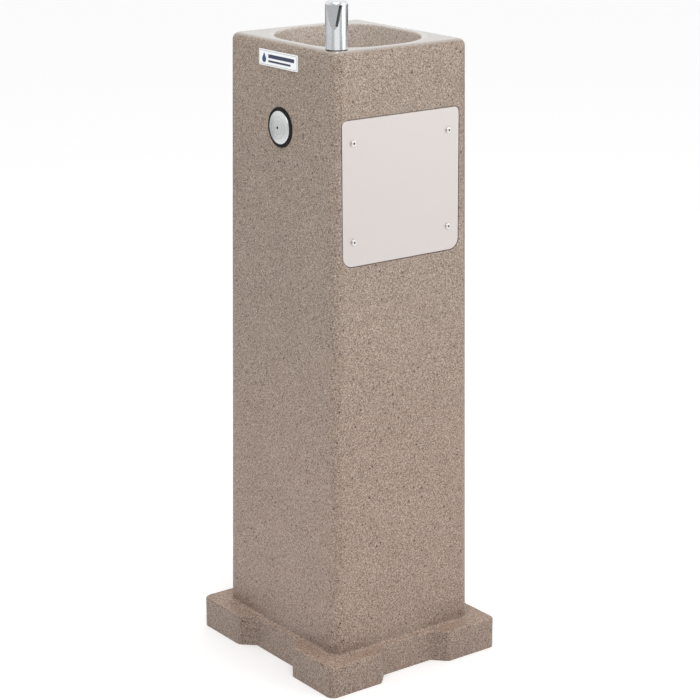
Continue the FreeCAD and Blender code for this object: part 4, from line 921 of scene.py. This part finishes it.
class FOUNTAIN_OT_stage(bpy.types.Operator):
    """Makes the pale floor, the soft studio light and the camera"""
    bl_idname = "fountain.stage"
    bl_label = "Stage"

    def execute(self, context):
        scene = context.scene
        view = scene.fountain_view
        scene.view_settings.view_transform = "Standard"
        self.make_floor()
        self.make_sky(scene, view.sky)
        column, bowl = (0, 0, 0.5), (0, 0, 0.85)
        softbox("key_light", round_the_studio(70, 3.0, 1.5), column, 1.6, 2.0, 22)
        softbox("front_light", round_the_studio(-2, 1.5, 2.6), bowl, 1.4, 1.2, 26)
        # Each card's two ends, in degrees round the studio, and its grey.
        for name, start, end, shade in (("flag_behind", 104, 180, "5A5C5E"),
                                        ("flag_behind_left", 180, 236, "7A7C7E"),
                                        ("flag_right", 30, 62, "9C9EA0"),
                                        ("flag_left", -50, -20, "A0A2A4"),
                                        ("flag_far_left", -124, -50, "C0C2C4")):
            self.make_flag(name, start, end, shade)
        self.make_camera(scene, view)
        return {"FINISHED"}

    def make_floor(self):
        """A matt white sheet, lit a little from below, so that it stays white underneath."""
        material, tree, shader = new_finish("pale_studio_floor")
        shader.inputs["Base Color"].default_value = linear("F2F2F2")
        shader.inputs["Roughness"].default_value = 0.9
        shader.inputs["Emission Color"].default_value = linear("FFFFFF")
        shader.inputs["Emission Strength"].default_value = 0.23
        mesh = bmesh.new()
        bmesh.ops.create_circle(mesh, cap_ends=True, segments=96, radius=40.0)
        floor = mesh_object("studio_floor", mesh, material)
        clear = 0.3 * MM
        floor.location.z = CAD_BOX[0][2] - clear

    def make_flag(self, name, start, end, shade):
        """A low curved card that only the polished metal reflects."""
        material, tree, shader = new_finish(name + "_card")
        shader.inputs["Base Color"].default_value = linear(shade)
        shader.inputs["Roughness"].default_value = 1.0
        distance, foot, top, steps = 2.0, 0.02, 0.75, 24
        mesh = bmesh.new()
        rows = []
        for step in range(steps + 1):
            turn = start + (end - start) * step / steps
            rows.append([mesh.verts.new(round_the_studio(turn, distance, height))
                         for height in (foot, top)])
        for here, after in zip(rows, rows[1:]):
            mesh.faces.new((here[0], after[0], after[1], here[1]))
        card = mesh_object(name, mesh, material)
        card.visible_camera = False
        card.visible_diffuse = False
        card.visible_shadow = False

    def make_sky(self, scene, strength):
        """White all round, and half as strong in front."""
        world = bpy.data.worlds.new("studio_surround")
        scene.world = world
        world.use_nodes = True
        tree = world.node_tree
        tree.nodes.clear()
        place = add_node(tree, "ShaderNodeTexCoord").outputs["Generated"]
        towards = add_node(tree, "ShaderNodeVectorMath", {"operation": "DOT_PRODUCT"}, {
            0: place, 1: round_the_studio(0, 1.0, 0.0)})
        shade = add_node(tree, "ShaderNodeMapRange", inputs={
            "Value": towards.outputs["Value"], "From Min": -0.2, "From Max": 0.9,
            "To Min": strength, "To Max": strength * 0.5})
        sky = add_node(tree, "ShaderNodeBackground", inputs={
            "Color": linear("FFFFFF"), "Strength": shade.outputs["Result"]})
        add_node(tree, "ShaderNodeOutputWorld", inputs={"Surface": sky.outputs["Background"]})

    def make_camera(self, scene, view):
        """Looks at a spot a few millimetres beside and below the middle of the column."""
        middle = Vector((0, 0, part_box("pedestal_shell")[1][2] / 2))
        flat = math.cos(view.elevation)
        back = Vector((math.sin(view.azimuth) * flat, -math.cos(view.azimuth) * flat,
                       math.sin(view.elevation)))
        right = Vector((math.cos(view.azimuth), math.sin(view.azimuth), 0))
        camera = bpy.data.objects.new("camera", bpy.data.cameras.new("camera"))
        camera.data.lens = view.lens
        camera.data.sensor_width = 36.0
        camera.location = middle + back * view.distance
        beside, below = 3.4 * MM, 4.1 * MM
        aim = middle + right * beside - back.cross(right) * below
        camera.rotation_euler = (aim - camera.location).to_track_quat("-Z", "Y").to_euler()
        scene.collection.objects.link(camera)
        scene.camera = camera


class FOUNTAIN_PT_panel(bpy.types.Panel):
    """Lists the fountain's pieces and values"""
    bl_idname = "FOUNTAIN_PT_panel"
    bl_label = "Drinking fountain"
    bl_space_type = "VIEW_3D"
    bl_region_type = "UI"
    bl_category = "Fountain"

    def draw(self, context):
        layout = self.layout
        scene = context.scene
        for group in (scene.fountain_finish, scene.fountain_sizes, scene.fountain_view):
            box = layout.box()
            for name in group.bl_rna.properties.keys():
                if name not in {"rna_type", "name"}:
                    box.prop(group, name)
        for operator in OPERATORS:
            layout.operator(operator.bl_idname)


OPERATORS = (
    FOUNTAIN_OT_stage,
    FOUNTAIN_OT_pedestal,
    FOUNTAIN_OT_metals,
    FOUNTAIN_OT_plastics,
    FOUNTAIN_OT_nameplate_print,
    FOUNTAIN_OT_button_ring,
    FOUNTAIN_OT_return_spring,
    FOUNTAIN_OT_nozzle_slot_painted_shade,
    FOUNTAIN_OT_screw_pins,
    FOUNTAIN_OT_threads,
    FOUNTAIN_OT_clamp_screws,
)
CLASSES = (FountainFinish, FountainSizes, FountainView, *OPERATORS, FOUNTAIN_PT_panel)


def register():
    for item in CLASSES:
        bpy.utils.register_class(item)
    bpy.types.Scene.fountain_finish = PointerProperty(type=FountainFinish)
    bpy.types.Scene.fountain_sizes = PointerProperty(type=FountainSizes)
    bpy.types.Scene.fountain_view = PointerProperty(type=FountainView)


def unregister():
    del bpy.types.Scene.fountain_view
    del bpy.types.Scene.fountain_sizes
    del bpy.types.Scene.fountain_finish
    for item in reversed(CLASSES):
        bpy.utils.unregister_class(item)


def main():
    """Makes everything in order."""
    register()
    for operator in OPERATORS:
        group, name = operator.bl_idname.split(".")
        getattr(getattr(bpy.ops, group), name)()


if __name__ == "__main__":
    main()
